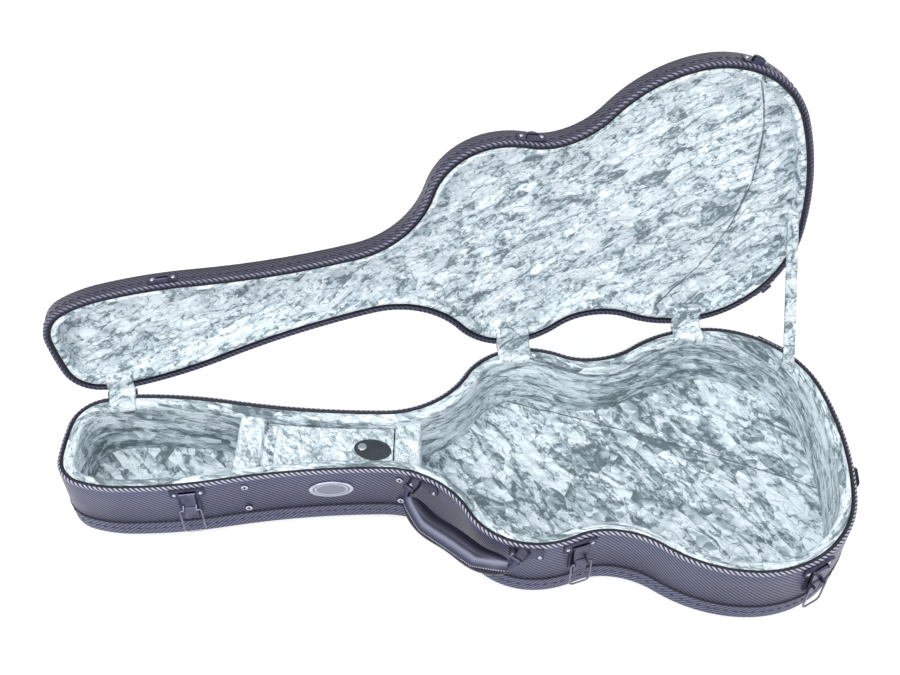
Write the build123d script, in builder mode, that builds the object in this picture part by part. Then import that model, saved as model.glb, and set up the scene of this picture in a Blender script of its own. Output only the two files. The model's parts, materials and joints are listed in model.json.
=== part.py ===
from build123d import *
from math import acos, atan2, cos, degrees, hypot, radians, sin, sqrt
import os

# A hard case for an acoustic guitar, standing open on its flat bottom.
# X runs along the case with the head end at minus X. The front with the
# handle and the latches faces minus Y, the hinges are on the plus Y side,
# and Z points up. The origin is the middle of the bottom face.

# Outline of the case, seen from above. It is the same on both sides of X.
# Each widest or narrowest place has a half width and a distance from an end
# or, at the neck, from the upper bout.
case_length = 1100.0
head_half_width = 87.0
head_from_head_end = 98.0
neck_half_width = 55.0
neck_to_upper_bout = 206.0
upper_bout_half_width = 179.0
upper_bout_from_tail_end = 444.0
waist_half_width = 157.5
waist_from_tail_end = 351.0
lower_bout_half_width = 221.0
lower_bout_from_tail_end = 162.0

# Radii of the outline's arcs. The arcs between them take what is left over.
head_end_radius = 400.0
head_corner_radius = 55.0
head_side_radius = 192.0
head_flare_radius = 716.0
shoulder_hollow_radius = 129.0
waist_hollow_radius_front = 85.0
waist_hollow_radius_back = 115.0
tail_end_radius = 470.0

# Heights of the base, from the ground up to the rim.
bottom_arch = 12.0
bottom_band_height = 25.0
piping_height = 3.4
base_wall_height = 73.6
rim_z = bottom_arch + bottom_band_height + piping_height + base_wall_height

# Heights of the lid above the rim when it is shut.
rim_gap = 0.4
lid_wall_height = 28.0
lid_arch = 14.0

# Walls, panels and linings.
wall_thickness = 7.0
panel_thickness = 5.0
piping_bulge = 1.2
rim_round = 2.2
edge_trim_width = 3.2
edge_trim_depth = 16.0
edge_trim_below_rim = 1.6
lining_thickness = 11.0
lining_below_rim = 1.8
lining_roll = 5.0
floor_padding = 8.0
lid_lining_thickness = 8.0
lid_padding = 6.0
fabric_gap = 0.3
seat_clearance = 0.15

# The dished edge of the arched panels, as inward run and share of the arch.
arch_runs = [0.0, 9.0, 26.0]
arch_shares = [1.0, 0.35, 0.0]

# Lid opening and the hinge line, which touches the head and both bouts.
lid_open_angle = 94.0
hinge_pin_radius = 1.3
hinge_pin_clearance = 0.05
hinge_knuckle_radius = 3.0
hinge_wall_clearance = 0.25
hinge_leaf_thickness = 1.6
hinge_width = 42.0
hinge_knuckle_gap = 0.4
hinge_leaf_drop = 26.0
hinge_lid_leaf_rise = 20.0
hinge_cover_widths = [38.0, 50.0, 46.0]
hinge_cover_thickness = 1.2
hinge_cover_reach = 16.0

# Head compartment wall, pocket lid and neck block.
partition_from_head_end = 243.0
partition_thickness = 38.0
partition_below_rim = 5.0
pocket_lid_thickness = 8.0
pocket_below_rim = 15.0
pocket_lid_gap = 1.2
pocket_side_gap = 1.6
neck_block_from_neck = 15.4
neck_block_thickness = 37.0
pad_round = 6.0
tape_thickness = 0.6
tape_leg = 8.0
pocket_open_angle = 90.0
pull_tab_length = 53.0
pull_tab_width = 35.0
pull_tab_thickness = 2.4
pull_tab_turn = -12.0
pull_tab_from_lid_end = 29.0
snap_radius = 6.5
snap_height = 2.2
snap_offset = 15.0

# Latches: four draw latches, each with a plate, a lever and a wire bail.
latch_names = ["head", "waist", "tail_front", "tail_rear"]
latch_head_from_head_end = 187.0
latch_waist_from_tail_end = 387.0
latch_tail_front_from_tail_end = 85.0
latch_tail_rear_from_tail_end = 66.0
latch_sides = [-1, -1, -1, 1]
plate_width = 47.0
plate_ear_height = 17.0
plate_tail_width = 30.0
plate_height = 56.0
plate_thickness = 1.5
plate_below_rim = 4.0
flange_depth = 4.4
flange_thickness = 1.6
lever_width = 19.0
lever_length = 52.0
lever_thickness = 2.4
lever_pivot_drop = 7.0
lever_pivot_out = 5.4
lever_pin_radius = 1.5
lever_barrel_radius = 2.7
lever_toe_length = 24.0
lever_toe_extra = 2.0
lever_ear_thickness = 1.6
lever_ear_radius = 3.2
lug_thickness = 1.6
lug_gap = 0.35
lug_radius = 3.2
bail_pivot_drop = 36.0
bail_pivot_out = 10.0
bail_wire_radius = 1.25
bail_length = 47.0
bail_half_width = 14.5
bail_top_bend = 3.0
bail_foot_bend = 7.0
pivot_clearance = 0.05
lever_open_angle = 110.0
bail_swing_angle = 186.0

# Keepers on the lid that the bails hook over.
keeper_width = 40.0
keeper_height = 17.0
keeper_above_rim = 3.0
keeper_thickness = 1.5
keeper_dome_width = 17.0
keeper_dome_height = 11.0
keeper_dome_out = 8.0
keeper_lip = 1.6
keeper_slot = 3.0
keeper_slot_depth = 6.0

# Rivets and screws.
rivet_head_radius = 2.9
rivet_head_height = 1.4
rivet_shank_radius = 1.4
rivet_length = 6.0
rivet_inset = 6.0
screw_head_radius = 5.2
screw_head_height = 1.8
screw_shank_radius = 2.0
screw_length = 24.0
screw_drops = [17.0, 64.0]

# Carrying handle in the hollow of the front shoulder.
handle_left_from_tail_end = 607.0
handle_right_from_tail_end = 467.0
handle_pivot_out = 15.0
handle_pivot_drop = 12.0
handle_hang = 25.5
handle_tilt = 45.0
handle_arm_drop = 12.0
handle_bend_share = 0.22
handle_grip_width = 30.0
handle_grip_height = 31.0
handle_grip_round = 9.0
handle_end_width = 11.0
handle_end_height = 9.0
handle_pin_radius = 2.0
handle_pin_clearance = 0.06
handle_barrel_radius = 4.6
handle_swing_up = 65.0
handle_swing_in = 4.0
bracket_left_from_tail_end = 592.0
bracket_right_from_tail_end = 457.0
bracket_width = 46.0
bracket_height = 20.0
bracket_thickness = 1.6
bracket_arm_thickness = 2.6
bracket_arm_gap = 0.5
bracket_arm_radius = 3.8
bracket_rivet_spacing = 35.0

# Oval plate on the front and the stay strap at the tail.
badge_from_neck = 71.0
badge_drop = 37.0
badge_length = 62.0
badge_height = 33.0
badge_thickness = 1.6
badge_pin_radius = 1.1
strap_width = 20.0
strap_thickness = 1.6
strap_base_from_tail_end = 50.0
strap_base_drop = 8.0
strap_lid_from_centre = 55.0
strap_lid_depth = 8.0
strap_over_rim = 4.0
strap_stand_off = 3.0
strap_anchor_size = 20.0
strap_anchor_thickness = 1.6
bumper_from_centre = 60.0
bumper_length = 30.0
bumper_height = 13.0
bumper_out = 6.0
bumper_drop = 10.0


# Outline geometry

half_length = case_length / 2
head_x = -half_length + head_from_head_end
upper_bout_x = half_length - upper_bout_from_tail_end
neck_x = upper_bout_x - neck_to_upper_bout
waist_x = half_length - waist_from_tail_end
lower_bout_x = half_length - lower_bout_from_tail_end


def head_arcs(side):
    """End, corner and side arc from the head's centre line to its widest place."""
    end_centre = (-half_length + head_end_radius, 0.0)
    side_centre = (side[0], side[1] - head_side_radius)
    gap_x = side_centre[0] - end_centre[0]
    gap_y = side_centre[1] - end_centre[1]
    apart = hypot(gap_x, gap_y)
    end_reach = head_end_radius - head_corner_radius
    side_reach = head_side_radius - head_corner_radius
    along = (end_reach ** 2 - side_reach ** 2 + apart ** 2) / (2 * apart)
    across = sqrt(end_reach ** 2 - along ** 2)
    corner_centre = (
        end_centre[0] + (along * gap_x + across * gap_y) / apart,
        end_centre[1] + (along * gap_y - across * gap_x) / apart,
    )
    end_turn = degrees(atan2(corner_centre[1] - end_centre[1], corner_centre[0] - end_centre[0]))
    side_turn = degrees(atan2(corner_centre[1] - side_centre[1], corner_centre[0] - side_centre[0]))
    return [
        (end_centre, head_end_radius, 180.0, end_turn, True),
        (corner_centre, head_corner_radius, end_turn, side_turn, True),
        (side_centre, head_side_radius, side_turn, 90.0, True),
    ]


def tail_arcs(side):
    """Side arc and end arc from the lower bout's widest place to the tail."""
    run = half_length - side[0]
    side_radius = (2 * run * tail_end_radius - run ** 2 - side[1] ** 2) / (2 * (tail_end_radius - side[1]))
    side_centre = (side[0], side[1] - side_radius)
    end_centre = (half_length - tail_end_radius, 0.0)
    turn = degrees(atan2(side_centre[1] - end_centre[1], side_centre[0] - end_centre[0]))
    return [
        (side_centre, side_radius, 90.0, turn, True),
        (end_centre, tail_end_radius, turn, 0.0, True),
    ]


def swing_arcs(first, last, first_radius):
    """Two tangent arcs between places where the outline runs along X."""
    run = last[0] - first[0]
    rise = last[1] - first[1]
    radii = (run ** 2 + rise ** 2) / (2 * abs(rise))
    turn = 2 * degrees(atan2(abs(rise), run))
    last_radius = radii - first_radius
    if rise < 0:
        return [
            ((first[0], first[1] - first_radius), first_radius, 90.0, 90.0 - turn, True),
            ((last[0], last[1] + last_radius), last_radius, 270.0 - turn, 270.0, False),
        ]
    return [
        ((first[0], first[1] + first_radius), first_radius, -90.0, -90.0 + turn, False),
        ((last[0], last[1] - last_radius), last_radius, 90.0 + turn, 90.0, True),
    ]


head_side = (head_x, head_half_width)
neck = (neck_x, neck_half_width)
upper_bout = (upper_bout_x, upper_bout_half_width)
waist = (waist_x, waist_half_width)
lower_bout = (lower_bout_x, lower_bout_half_width)
upper_to_waist = (
    (waist_x - upper_bout_x) ** 2 + (upper_bout_half_width - waist_half_width) ** 2
) / (2 * (upper_bout_half_width - waist_half_width))

# Each arc is its centre, radius, first and last angle, and whether it bulges.
half_outline = (
    head_arcs(head_side)
    + swing_arcs(head_side, neck, head_flare_radius)
    + swing_arcs(neck, upper_bout, shoulder_hollow_radius)
    + swing_arcs(upper_bout, waist, upper_to_waist - waist_hollow_radius_front)
    + swing_arcs(waist, lower_bout, waist_hollow_radius_back)
    + tail_arcs(lower_bout)
)


def case_outline(inset, height):
    """Face bounded by the outline drawn inward by inset, at a height."""
    with BuildSketch(Plane.XY.offset(height)) as face:
        with BuildLine():
            for centre, radius, start, stop, bulges in half_outline:
                reach = radius - inset if bulges else radius + inset
                CenterArc(centre, reach, start, stop - start)
            mirror(about=Plane.XZ)
        make_face()
    return face.sketch


def wall_point(x, side, inset=0.0):
    """Point of the wall at x, a given way in, with the way that it faces."""
    for centre, outer_radius, start, stop, bulges in half_outline:
        radius = outer_radius - inset if bulges else outer_radius + inset
        ends = sorted(centre[0] + radius * cos(radians(a)) for a in (start, stop))
        if ends[0] <= x <= ends[1]:
            rise = sqrt(radius ** 2 - (x - centre[0]) ** 2)
            y = centre[1] + rise if bulges else centre[1] - rise
            facing = 1 if bulges else -1
            normal = ((x - centre[0]) / radius * facing, (y - centre[1]) / radius * facing)
            return Vector(x, side * y, 0), Vector(normal[0], side * normal[1], 0)
    raise ValueError("no wall at this x")


def wall_plane(x, side, width):
    """Upright plane that lies on the wall over a width, without cutting it."""
    middle, normal = wall_point(x, side)
    along = Vector(0, 0, 1).cross(normal)
    left = wall_point(x - abs(along.X) * width / 2, side)[0]
    right = wall_point(x + abs(along.X) * width / 2, side)[0]
    chord = (right - left).normalized() if along.X > 0 else (left - right).normalized()
    normal = chord.cross(Vector(0, 0, 1))
    steps = [x + abs(along.X) * width * (i / 16 - 0.5) for i in range(17)]
    bulge = max((wall_point(step, side)[0] - middle).dot(normal) for step in steps)
    origin = middle + normal * (bulge + seat_clearance)
    return Plane(origin=origin, x_dir=chord, z_dir=normal)


def ring(outer, inner, low, high):
    """Upright wall between two insets of the outline."""
    with BuildPart() as wall:
        add(case_outline(outer, low))
        extrude(amount=high - low)
        add(case_outline(inner, low))
        extrude(amount=high - low, mode=Mode.SUBTRACT)
    return wall


def dished_board(edge, arch, way):
    """Board with a flat edge and a middle that stands out from it by the arch."""
    with BuildPart() as board:
        for run, share in zip(arch_runs, arch_shares):
            add(case_outline(run, edge + way * arch * (1 - share)))
        loft(ruled=True)
        add(case_outline(wall_thickness, edge))
        extrude(amount=-way * panel_thickness)
        for run, share in zip(arch_runs, arch_shares):
            inner = edge + way * (arch * (1 - share) - panel_thickness)
            add(case_outline(wall_thickness + run, inner))
        loft(ruled=True, mode=Mode.SUBTRACT)
    return board


def board_share(inset):
    """Share of the arch that is left in a board's inner face at an inset."""
    run = inset - wall_thickness
    for i in (0, 1):
        if run <= arch_runs[i + 1]:
            part_way = (run - arch_runs[i]) / (arch_runs[i + 1] - arch_runs[i])
            return arch_shares[i] + part_way * (arch_shares[i + 1] - arch_shares[i])
    return arch_shares[2]


def board_inset(share):
    """Inset at which a board's inner face has a share of the arch left."""
    for i in (0, 1):
        if share >= arch_shares[i + 1]:
            part_way = (arch_shares[i] - share) / (arch_shares[i] - arch_shares[i + 1])
            return wall_thickness + arch_runs[i] + part_way * (arch_runs[i + 1] - arch_runs[i])
    return wall_thickness + arch_runs[2]


def padding(edge, arch, way, thickness):
    """Soft slab that fills the dish of a board to a thickness over its middle."""
    middle = edge + way * (arch - panel_thickness)
    share = min(thickness / arch, board_share(lining_inset))
    with BuildPart() as slab:
        add(case_outline(wall_thickness + arch_runs[2], middle))
        if share > arch_shares[1]:
            add(case_outline(wall_thickness + arch_runs[1] + fabric_gap, middle - way * arch * arch_shares[1]))
        add(case_outline(board_inset(share) + fabric_gap, middle - way * arch * share))
        loft(ruled=True)
    return slab


def outer_face(builder, plane):
    """Face of a piece that is furthest out from a plane."""
    return builder.faces().sort_by(Axis(plane.origin, plane.z_dir))[-1]


def save(builder, name):
    """Label a finished piece and write it to its own file."""
    builder.part.label = name
    export_step(builder.part, f"parts/{name}.step")


os.makedirs("parts", exist_ok=True)

band_top = bottom_arch + bottom_band_height
piping_top = band_top + piping_height
trim_inset = wall_thickness
lining_inset = wall_thickness + edge_trim_width
inner_inset = lining_inset + lining_thickness
floor_top = panel_thickness + floor_padding
lid_rim_z = rim_z + rim_gap
lid_band_top = lid_rim_z + lid_wall_height


# Base wall, bent from plywood and wrapped in woven-look vinyl over the rim

base_wall = ring(0, wall_thickness, piping_top, rim_z)
with base_wall:
    fillet(base_wall.faces().sort_by(Axis.Z)[-1].edges(), radius=rim_round)
save(base_wall, "base_wall")

# Welted piping between the wall and the bottom band

base_piping = ring(-piping_bulge, wall_thickness, band_top, piping_top)
with base_piping:
    outer_face_edges = base_piping.faces().sort_by(Axis.Z)[-1].outer_wire().edges()
    outer_face_edges += base_piping.faces().sort_by(Axis.Z)[0].outer_wire().edges()
    fillet(outer_face_edges, radius=piping_bulge)
save(base_piping, "base_piping")

# Bottom band, the stitched wrap between the piping and the arched bottom

base_bottom_band = ring(0, wall_thickness, bottom_arch, band_top)
save(base_bottom_band, "base_bottom_band")

# Arched bottom board, flat in the middle, on which the case rests

base_bottom = dished_board(bottom_arch, bottom_arch, -1)
save(base_bottom, "base_bottom")

# Black edge trim that closes the gap between the wall and the lining

base_edge_trim = ring(trim_inset, lining_inset, rim_z - edge_trim_depth, rim_z - edge_trim_below_rim)
save(base_edge_trim, "base_edge_trim")

# Padded velvet lining of the wall, with a rolled top edge

lining_foot = panel_thickness + bottom_arch * board_share(lining_inset) + fabric_gap
base_lining_wall = ring(lining_inset, inner_inset, lining_foot, rim_z - lining_below_rim)
with base_lining_wall:
    fillet(base_lining_wall.faces().sort_by(Axis.Z)[-1].edges(), radius=lining_roll)
save(base_lining_wall, "base_lining_wall")

# Padded velvet floor on the arched bottom board

base_lining_floor = padding(bottom_arch, bottom_arch, -1, floor_padding)
save(base_lining_floor, "base_lining_floor")


def pad_block(head_end, length, low, high, side_gap, rounded=0):
    """Padded block across the inside of the case, rounded along its top."""
    with BuildPart() as block:
        with BuildSketch(Plane.XY.offset(low)):
            add(case_outline(inner_inset + side_gap, low))
            with Locations((head_end + length / 2, 0)):
                Rectangle(length, case_length, mode=Mode.INTERSECT)
        extrude(amount=high - low)
        if rounded:
            top = block.faces().sort_by(Axis.Z)[-1]
            fillet(top.edges().filter_by(Axis.Y), radius=rounded)
    return block


# Padded wall of the head compartment, which the neck rests beside

partition_x = -half_length + partition_from_head_end
pocket_x = partition_x + partition_thickness + pocket_lid_gap
block_x = neck_x + neck_block_from_neck
pocket_lid_length = block_x - pocket_lid_gap - pocket_x
pocket_top = rim_z - pocket_below_rim
neck_rest_partition = pad_block(
    partition_x, partition_thickness, floor_top + fabric_gap, rim_z - partition_below_rim, fabric_gap, pad_round
)
save(neck_rest_partition, "neck_rest_partition")

# Padded block between the pocket and the body of the guitar

neck_block = pad_block(
    block_x, neck_block_thickness, floor_top + fabric_gap, pocket_top, fabric_gap, pad_round
)
save(neck_block, "neck_block")

# Lid of the accessory pocket, a covered board that lifts at the neck block

pocket_lid = pad_block(
    pocket_x, pocket_lid_length, pocket_top - pocket_lid_thickness, pocket_top, pocket_side_gap
)
with pocket_lid:
    turning_end = pocket_lid.faces().sort_by(Axis.X)[0]
    fillet(turning_end.edges().filter_by(Axis.Y), radius=pocket_lid_thickness * 0.49)
save(pocket_lid, "pocket_lid")

# Velvet tape glued over the joint on which the pocket lid turns

with BuildPart() as pocket_hinge_tape:
    tape_length = 2 * (wall_point(pocket_x, 1, inner_inset)[0].Y - pad_round)
    partition_side = partition_x + partition_thickness + tape_thickness / 2 + 0.05
    with BuildSketch(Plane.XZ):
        with BuildLine():
            Polyline(
                (partition_side, pocket_top + tape_leg - tape_thickness),
                (partition_side, pocket_top + tape_thickness),
                (partition_side + 2 * tape_leg, pocket_top + tape_thickness),
            )
        trace(line_width=tape_thickness)
    extrude(amount=tape_length / 2, both=True)
save(pocket_hinge_tape, "pocket_hinge_tape")

# Oval leather pull tab on the pocket lid, with the snap that holds it down

tab_centre_x = pocket_x + pocket_lid_length - pull_tab_from_lid_end
tab_plane = Plane(
    origin=(tab_centre_x, -wall_thickness, pocket_top),
    x_dir=(cos(radians(pull_tab_turn)), sin(radians(pull_tab_turn)), 0),
    z_dir=(0, 0, 1),
)
with BuildPart() as pull_tab:
    with BuildSketch(tab_plane):
        Ellipse(pull_tab_length / 2, pull_tab_width / 2)
    extrude(amount=pull_tab_thickness)
    fillet(pull_tab.faces().sort_by(Axis.Z)[-1].edges(), radius=pull_tab_thickness / 3)
save(pull_tab, "pull_tab")

with BuildPart() as pull_tab_snap:
    with BuildSketch(tab_plane.offset(pull_tab_thickness)):
        with Locations((-snap_offset, 0)):
            Circle(snap_radius)
    extrude(amount=snap_height)
    fillet(pull_tab_snap.faces().sort_by(Axis.Z)[-1].edges(), radius=snap_height * 0.8)
save(pull_tab_snap, "pull_tab_snap")


def rivet(head_radius, head_height, shank_radius, length):
    """Domed rivet or screw that points down minus Z from its seat at zero."""
    with BuildPart() as piece:
        Cylinder(head_radius, head_height, align=(Align.CENTER, Align.CENTER, Align.MIN))
        fillet(piece.edges().sort_by(Axis.Z)[-1], radius=head_height * 0.85)
        Cylinder(shank_radius, length, align=(Align.CENTER, Align.CENTER, Align.MAX))
    return piece.part


def rivet_group(spots, head_radius, head_height, shank_radius, length):
    """Group of like rivets, one at each spot of a plane, across, up and out."""
    with BuildPart() as group:
        one = rivet(head_radius, head_height, shank_radius, length)
        for plane, across, up, out in spots:
            add(plane.location * Location((across, up, out)) * one)
    return group


# Screws that hold the partition and the neck block through the wall

screw_spots = []
for x in (partition_x + partition_thickness / 2 + 1, block_x + neck_block_thickness / 4):
    for side in (-1, 1):
        seat = wall_plane(x, side, 2 * screw_head_radius)
        screw_spots += [(seat, 0, rim_z - drop, 0) for drop in screw_drops]
partition_screws = rivet_group(
    screw_spots, screw_head_radius, screw_head_height, screw_shank_radius, screw_length
)
save(partition_screws, "partition_screws")

# Oval plate on the front of the neck, left bare, and its two pins

badge_seat = wall_plane(neck_x - badge_from_neck, -1, badge_length)
with BuildPart() as badge:
    with BuildSketch(badge_seat):
        with Locations((0, rim_z - badge_drop)):
            Ellipse(badge_length / 2, badge_height / 2)
    extrude(amount=badge_thickness)
    fillet(outer_face(badge, badge_seat).edges(), radius=badge_thickness / 2)
save(badge, "badge")

badge_pin_reach = badge_length / 2 - 3 * badge_pin_radius
badge_pins = rivet_group(
    [(badge_seat, u, rim_z - badge_drop, badge_thickness) for u in (-badge_pin_reach, badge_pin_reach)],
    badge_pin_radius, badge_pin_radius / 2, badge_pin_radius / 2, rivet_length,
)
save(badge_pins, "badge_pins")


# Latches, made alike at four places along the rim

latch_top = rim_z - plate_below_rim
lever_pivot_z = latch_top - lever_pivot_drop
bail_pivot_z = latch_top - bail_pivot_drop
lug_inside = lever_width / 2 + lug_gap
latch_stations = [
    -half_length + latch_head_from_head_end,
    half_length - latch_waist_from_tail_end,
    half_length - latch_tail_front_from_tail_end,
    half_length - latch_tail_rear_from_tail_end,
]
latch_seats = {
    name: wall_plane(station, side, plate_width)
    for name, station, side in zip(latch_names, latch_stations, latch_sides)
}
latch_rivet_spots = []
for name, seat in latch_seats.items():
    side_plane = Plane(origin=seat.origin, x_dir=seat.z_dir, z_dir=seat.x_dir)

    # Stamped plate with two ears, a folded top flange and the lever's lugs
    with BuildPart() as latch_plate:
        with BuildSketch(seat):
            with Locations((0, latch_top - plate_ear_height / 2)):
                Rectangle(plate_width, plate_ear_height)
            with Locations((0, latch_top - plate_height / 2)):
                Rectangle(plate_tail_width, plate_height)
            fillet(vertices(), radius=3)
        extrude(amount=plate_thickness)
        with BuildSketch(seat):
            with Locations((0, latch_top - flange_thickness / 2)):
                Rectangle(plate_width, flange_thickness)
        extrude(amount=flange_depth)
        for way in (-1, 1):
            with BuildSketch(side_plane.offset(way * (lug_inside + lug_thickness / 2))):
                with BuildLine():
                    Polyline(
                        (plate_thickness / 2, -lever_pivot_z + lug_radius + 2),
                        (lever_pivot_out, -lever_pivot_z + lug_radius),
                        (lever_pivot_out, -lever_pivot_z - lug_radius),
                        (plate_thickness / 2, -lever_pivot_z - lug_radius),
                        close=True,
                    )
                make_face()
                with Locations((lever_pivot_out, -lever_pivot_z)):
                    Circle(lug_radius)
                    Circle(lever_pin_radius + pivot_clearance, mode=Mode.SUBTRACT)
            extrude(amount=lug_thickness / 2, both=True)
        rivet_across = plate_width / 2 - rivet_inset
        rivet_up = latch_top - plate_ear_height + rivet_inset + 1
        for across in (-rivet_across, rivet_across):
            latch_rivet_spots.append((seat, across, rivet_up, plate_thickness))
            with Locations(seat.location * Location((across, rivet_up, 0))):
                Cylinder(rivet_shank_radius, 4 * plate_thickness, mode=Mode.SUBTRACT)
    save(latch_plate, f"latch_plate_{name}")

    # Lever with a rolled barrel, a thick toe and two ears for the bail
    with BuildPart() as latch_lever:
        lever_back = lever_pivot_out - lever_barrel_radius
        with BuildSketch(side_plane):
            with Locations((lever_back + lever_thickness / 2, -lever_pivot_z + lever_length / 2)):
                Rectangle(lever_thickness, lever_length)
            toe_out = lever_thickness + lever_toe_extra
            toe_middle = lever_length - lever_toe_length / 2
            with Locations((lever_back + toe_out / 2, -lever_pivot_z + toe_middle)):
                RectangleRounded(toe_out, lever_toe_length, lever_toe_extra * 0.9)
            with Locations((lever_pivot_out, -lever_pivot_z)):
                Circle(lever_barrel_radius)
                Circle(lever_pin_radius + pivot_clearance, mode=Mode.SUBTRACT)
        extrude(amount=lever_width / 2, both=True)
        for way in (-1, 1):
            ear_middle = way * (lever_width - lever_ear_thickness) / 2
            with BuildSketch(side_plane.offset(ear_middle)):
                with BuildLine():
                    Polyline(
                        (lever_back, -bail_pivot_z - 2 * lever_ear_radius),
                        (bail_pivot_out, -bail_pivot_z - lever_ear_radius),
                        (bail_pivot_out, -bail_pivot_z + lever_ear_radius),
                        (lever_back, -bail_pivot_z + 2 * lever_ear_radius),
                        close=True,
                    )
                make_face()
                with Locations((bail_pivot_out, -bail_pivot_z)):
                    Circle(lever_ear_radius)
            extrude(amount=lever_ear_thickness / 2, both=True)
        with BuildSketch(side_plane):
            with Locations((bail_pivot_out, -bail_pivot_z)):
                Circle(bail_wire_radius + pivot_clearance)
        extrude(amount=lever_width, both=True, mode=Mode.SUBTRACT)
    save(latch_lever, f"latch_lever_{name}")

    # Wire bail that hangs from the lever's ears
    bail_plane = seat.offset(bail_pivot_out)
    stub_end = lever_width / 2 - lever_ear_thickness
    with BuildPart() as latch_bail:
        with BuildLine(bail_plane):
            FilletPolyline(
                (-stub_end, bail_pivot_z),
                (-bail_half_width, bail_pivot_z),
                (-bail_half_width, bail_pivot_z - bail_length),
                (bail_half_width, bail_pivot_z - bail_length),
                (bail_half_width, bail_pivot_z),
                (stub_end, bail_pivot_z),
                radius=[bail_top_bend, bail_foot_bend, bail_foot_bend, bail_top_bend],
            )
        wire_start = bail_plane.location * Location((-stub_end, bail_pivot_z, 0))
        with BuildSketch(Plane(origin=wire_start.position, z_dir=-1 * seat.x_dir)):
            Circle(bail_wire_radius)
        sweep()
    save(latch_bail, f"latch_bail_{name}")

# Pins on which the levers turn, held in the lugs

with BuildPart() as latch_pins:
    for seat in latch_seats.values():
        pin_plane = Plane(origin=seat.origin, x_dir=seat.z_dir, z_dir=seat.x_dir)
        with BuildSketch(pin_plane):
            with Locations((lever_pivot_out, -lever_pivot_z)):
                Circle(lever_pin_radius)
        extrude(amount=lug_inside + lug_thickness, both=True)
save(latch_pins, "latch_pins")

latch_rivets = rivet_group(
    latch_rivet_spots, rivet_head_radius, rivet_head_height, rivet_shank_radius, rivet_length
)
save(latch_rivets, "latch_rivets")


# Hinge line of the lid, which touches the head and both bouts of the outline

head_circle, upper_circle, lower_circle = half_outline[2], half_outline[6], half_outline[10]
hinge_circles = [head_circle, upper_circle, lower_circle]
(head_cx, head_cy), head_r = head_circle[:2]
(lower_cx, lower_cy), lower_r = lower_circle[:2]
line_turn = degrees(atan2(lower_cy - head_cy, lower_cx - head_cx))
line_turn += degrees(acos((head_r - lower_r) / hypot(lower_cx - head_cx, lower_cy - head_cy)))
hinge_out = Vector(cos(radians(line_turn)), sin(radians(line_turn)), 0)
hinge_along = Vector(hinge_out.Y, -hinge_out.X, 0)
hinge_touch = [Vector(centre[0], centre[1], 0) + hinge_out * radius for centre, radius, *_ in hinge_circles]
hinge_reach = max(point.dot(hinge_out) for point in hinge_touch) + hinge_wall_clearance + hinge_knuckle_radius
hinge_z = rim_z + rim_gap / 2
hinge_axis = Axis(tuple(hinge_out * hinge_reach + Vector(0, 0, hinge_z)), tuple(hinge_along))


def save_open(builder, name):
    """Write a piece of the lid, drawn shut, turned open about the hinge line."""
    opened = builder.part.rotate(hinge_axis, -lid_open_angle)
    opened.label = name
    export_step(opened, f"parts/{name}.step")


# Lid wall, wrapped in the same vinyl over its rim

lid_wall = ring(0, wall_thickness, lid_rim_z, lid_band_top)
with lid_wall:
    fillet(lid_wall.faces().sort_by(Axis.Z)[0].edges(), radius=rim_round)
save_open(lid_wall, "lid_wall")

# Arched top board of the lid

lid_top = dished_board(lid_band_top, lid_arch, 1)
save_open(lid_top, "lid_top")

# Black edge trim of the lid

lid_edge_trim = ring(
    trim_inset, lining_inset, lid_rim_z + edge_trim_below_rim, lid_rim_z + edge_trim_depth
)
save_open(lid_edge_trim, "lid_edge_trim")

# Padded velvet lining of the lid wall and of the lid board

lid_lining_top = (
    lid_band_top - panel_thickness + lid_arch * (1 - board_share(lining_inset)) - fabric_gap
)
lid_inner_inset = lining_inset + lid_lining_thickness
lid_lining_wall = ring(lining_inset, lid_inner_inset, lid_rim_z + lining_below_rim, lid_lining_top)
with lid_lining_wall:
    lid_roll = min(lining_roll, lid_lining_thickness * 0.45)
    fillet(lid_lining_wall.faces().sort_by(Axis.Z)[0].edges(), radius=lid_roll)
save_open(lid_lining_wall, "lid_lining_wall")

lid_lining_panel = padding(lid_band_top, lid_arch, 1, lid_padding)
save_open(lid_lining_panel, "lid_lining_panel")


# Hinges: a leaf on the base and one on the lid at each touching place

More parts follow.
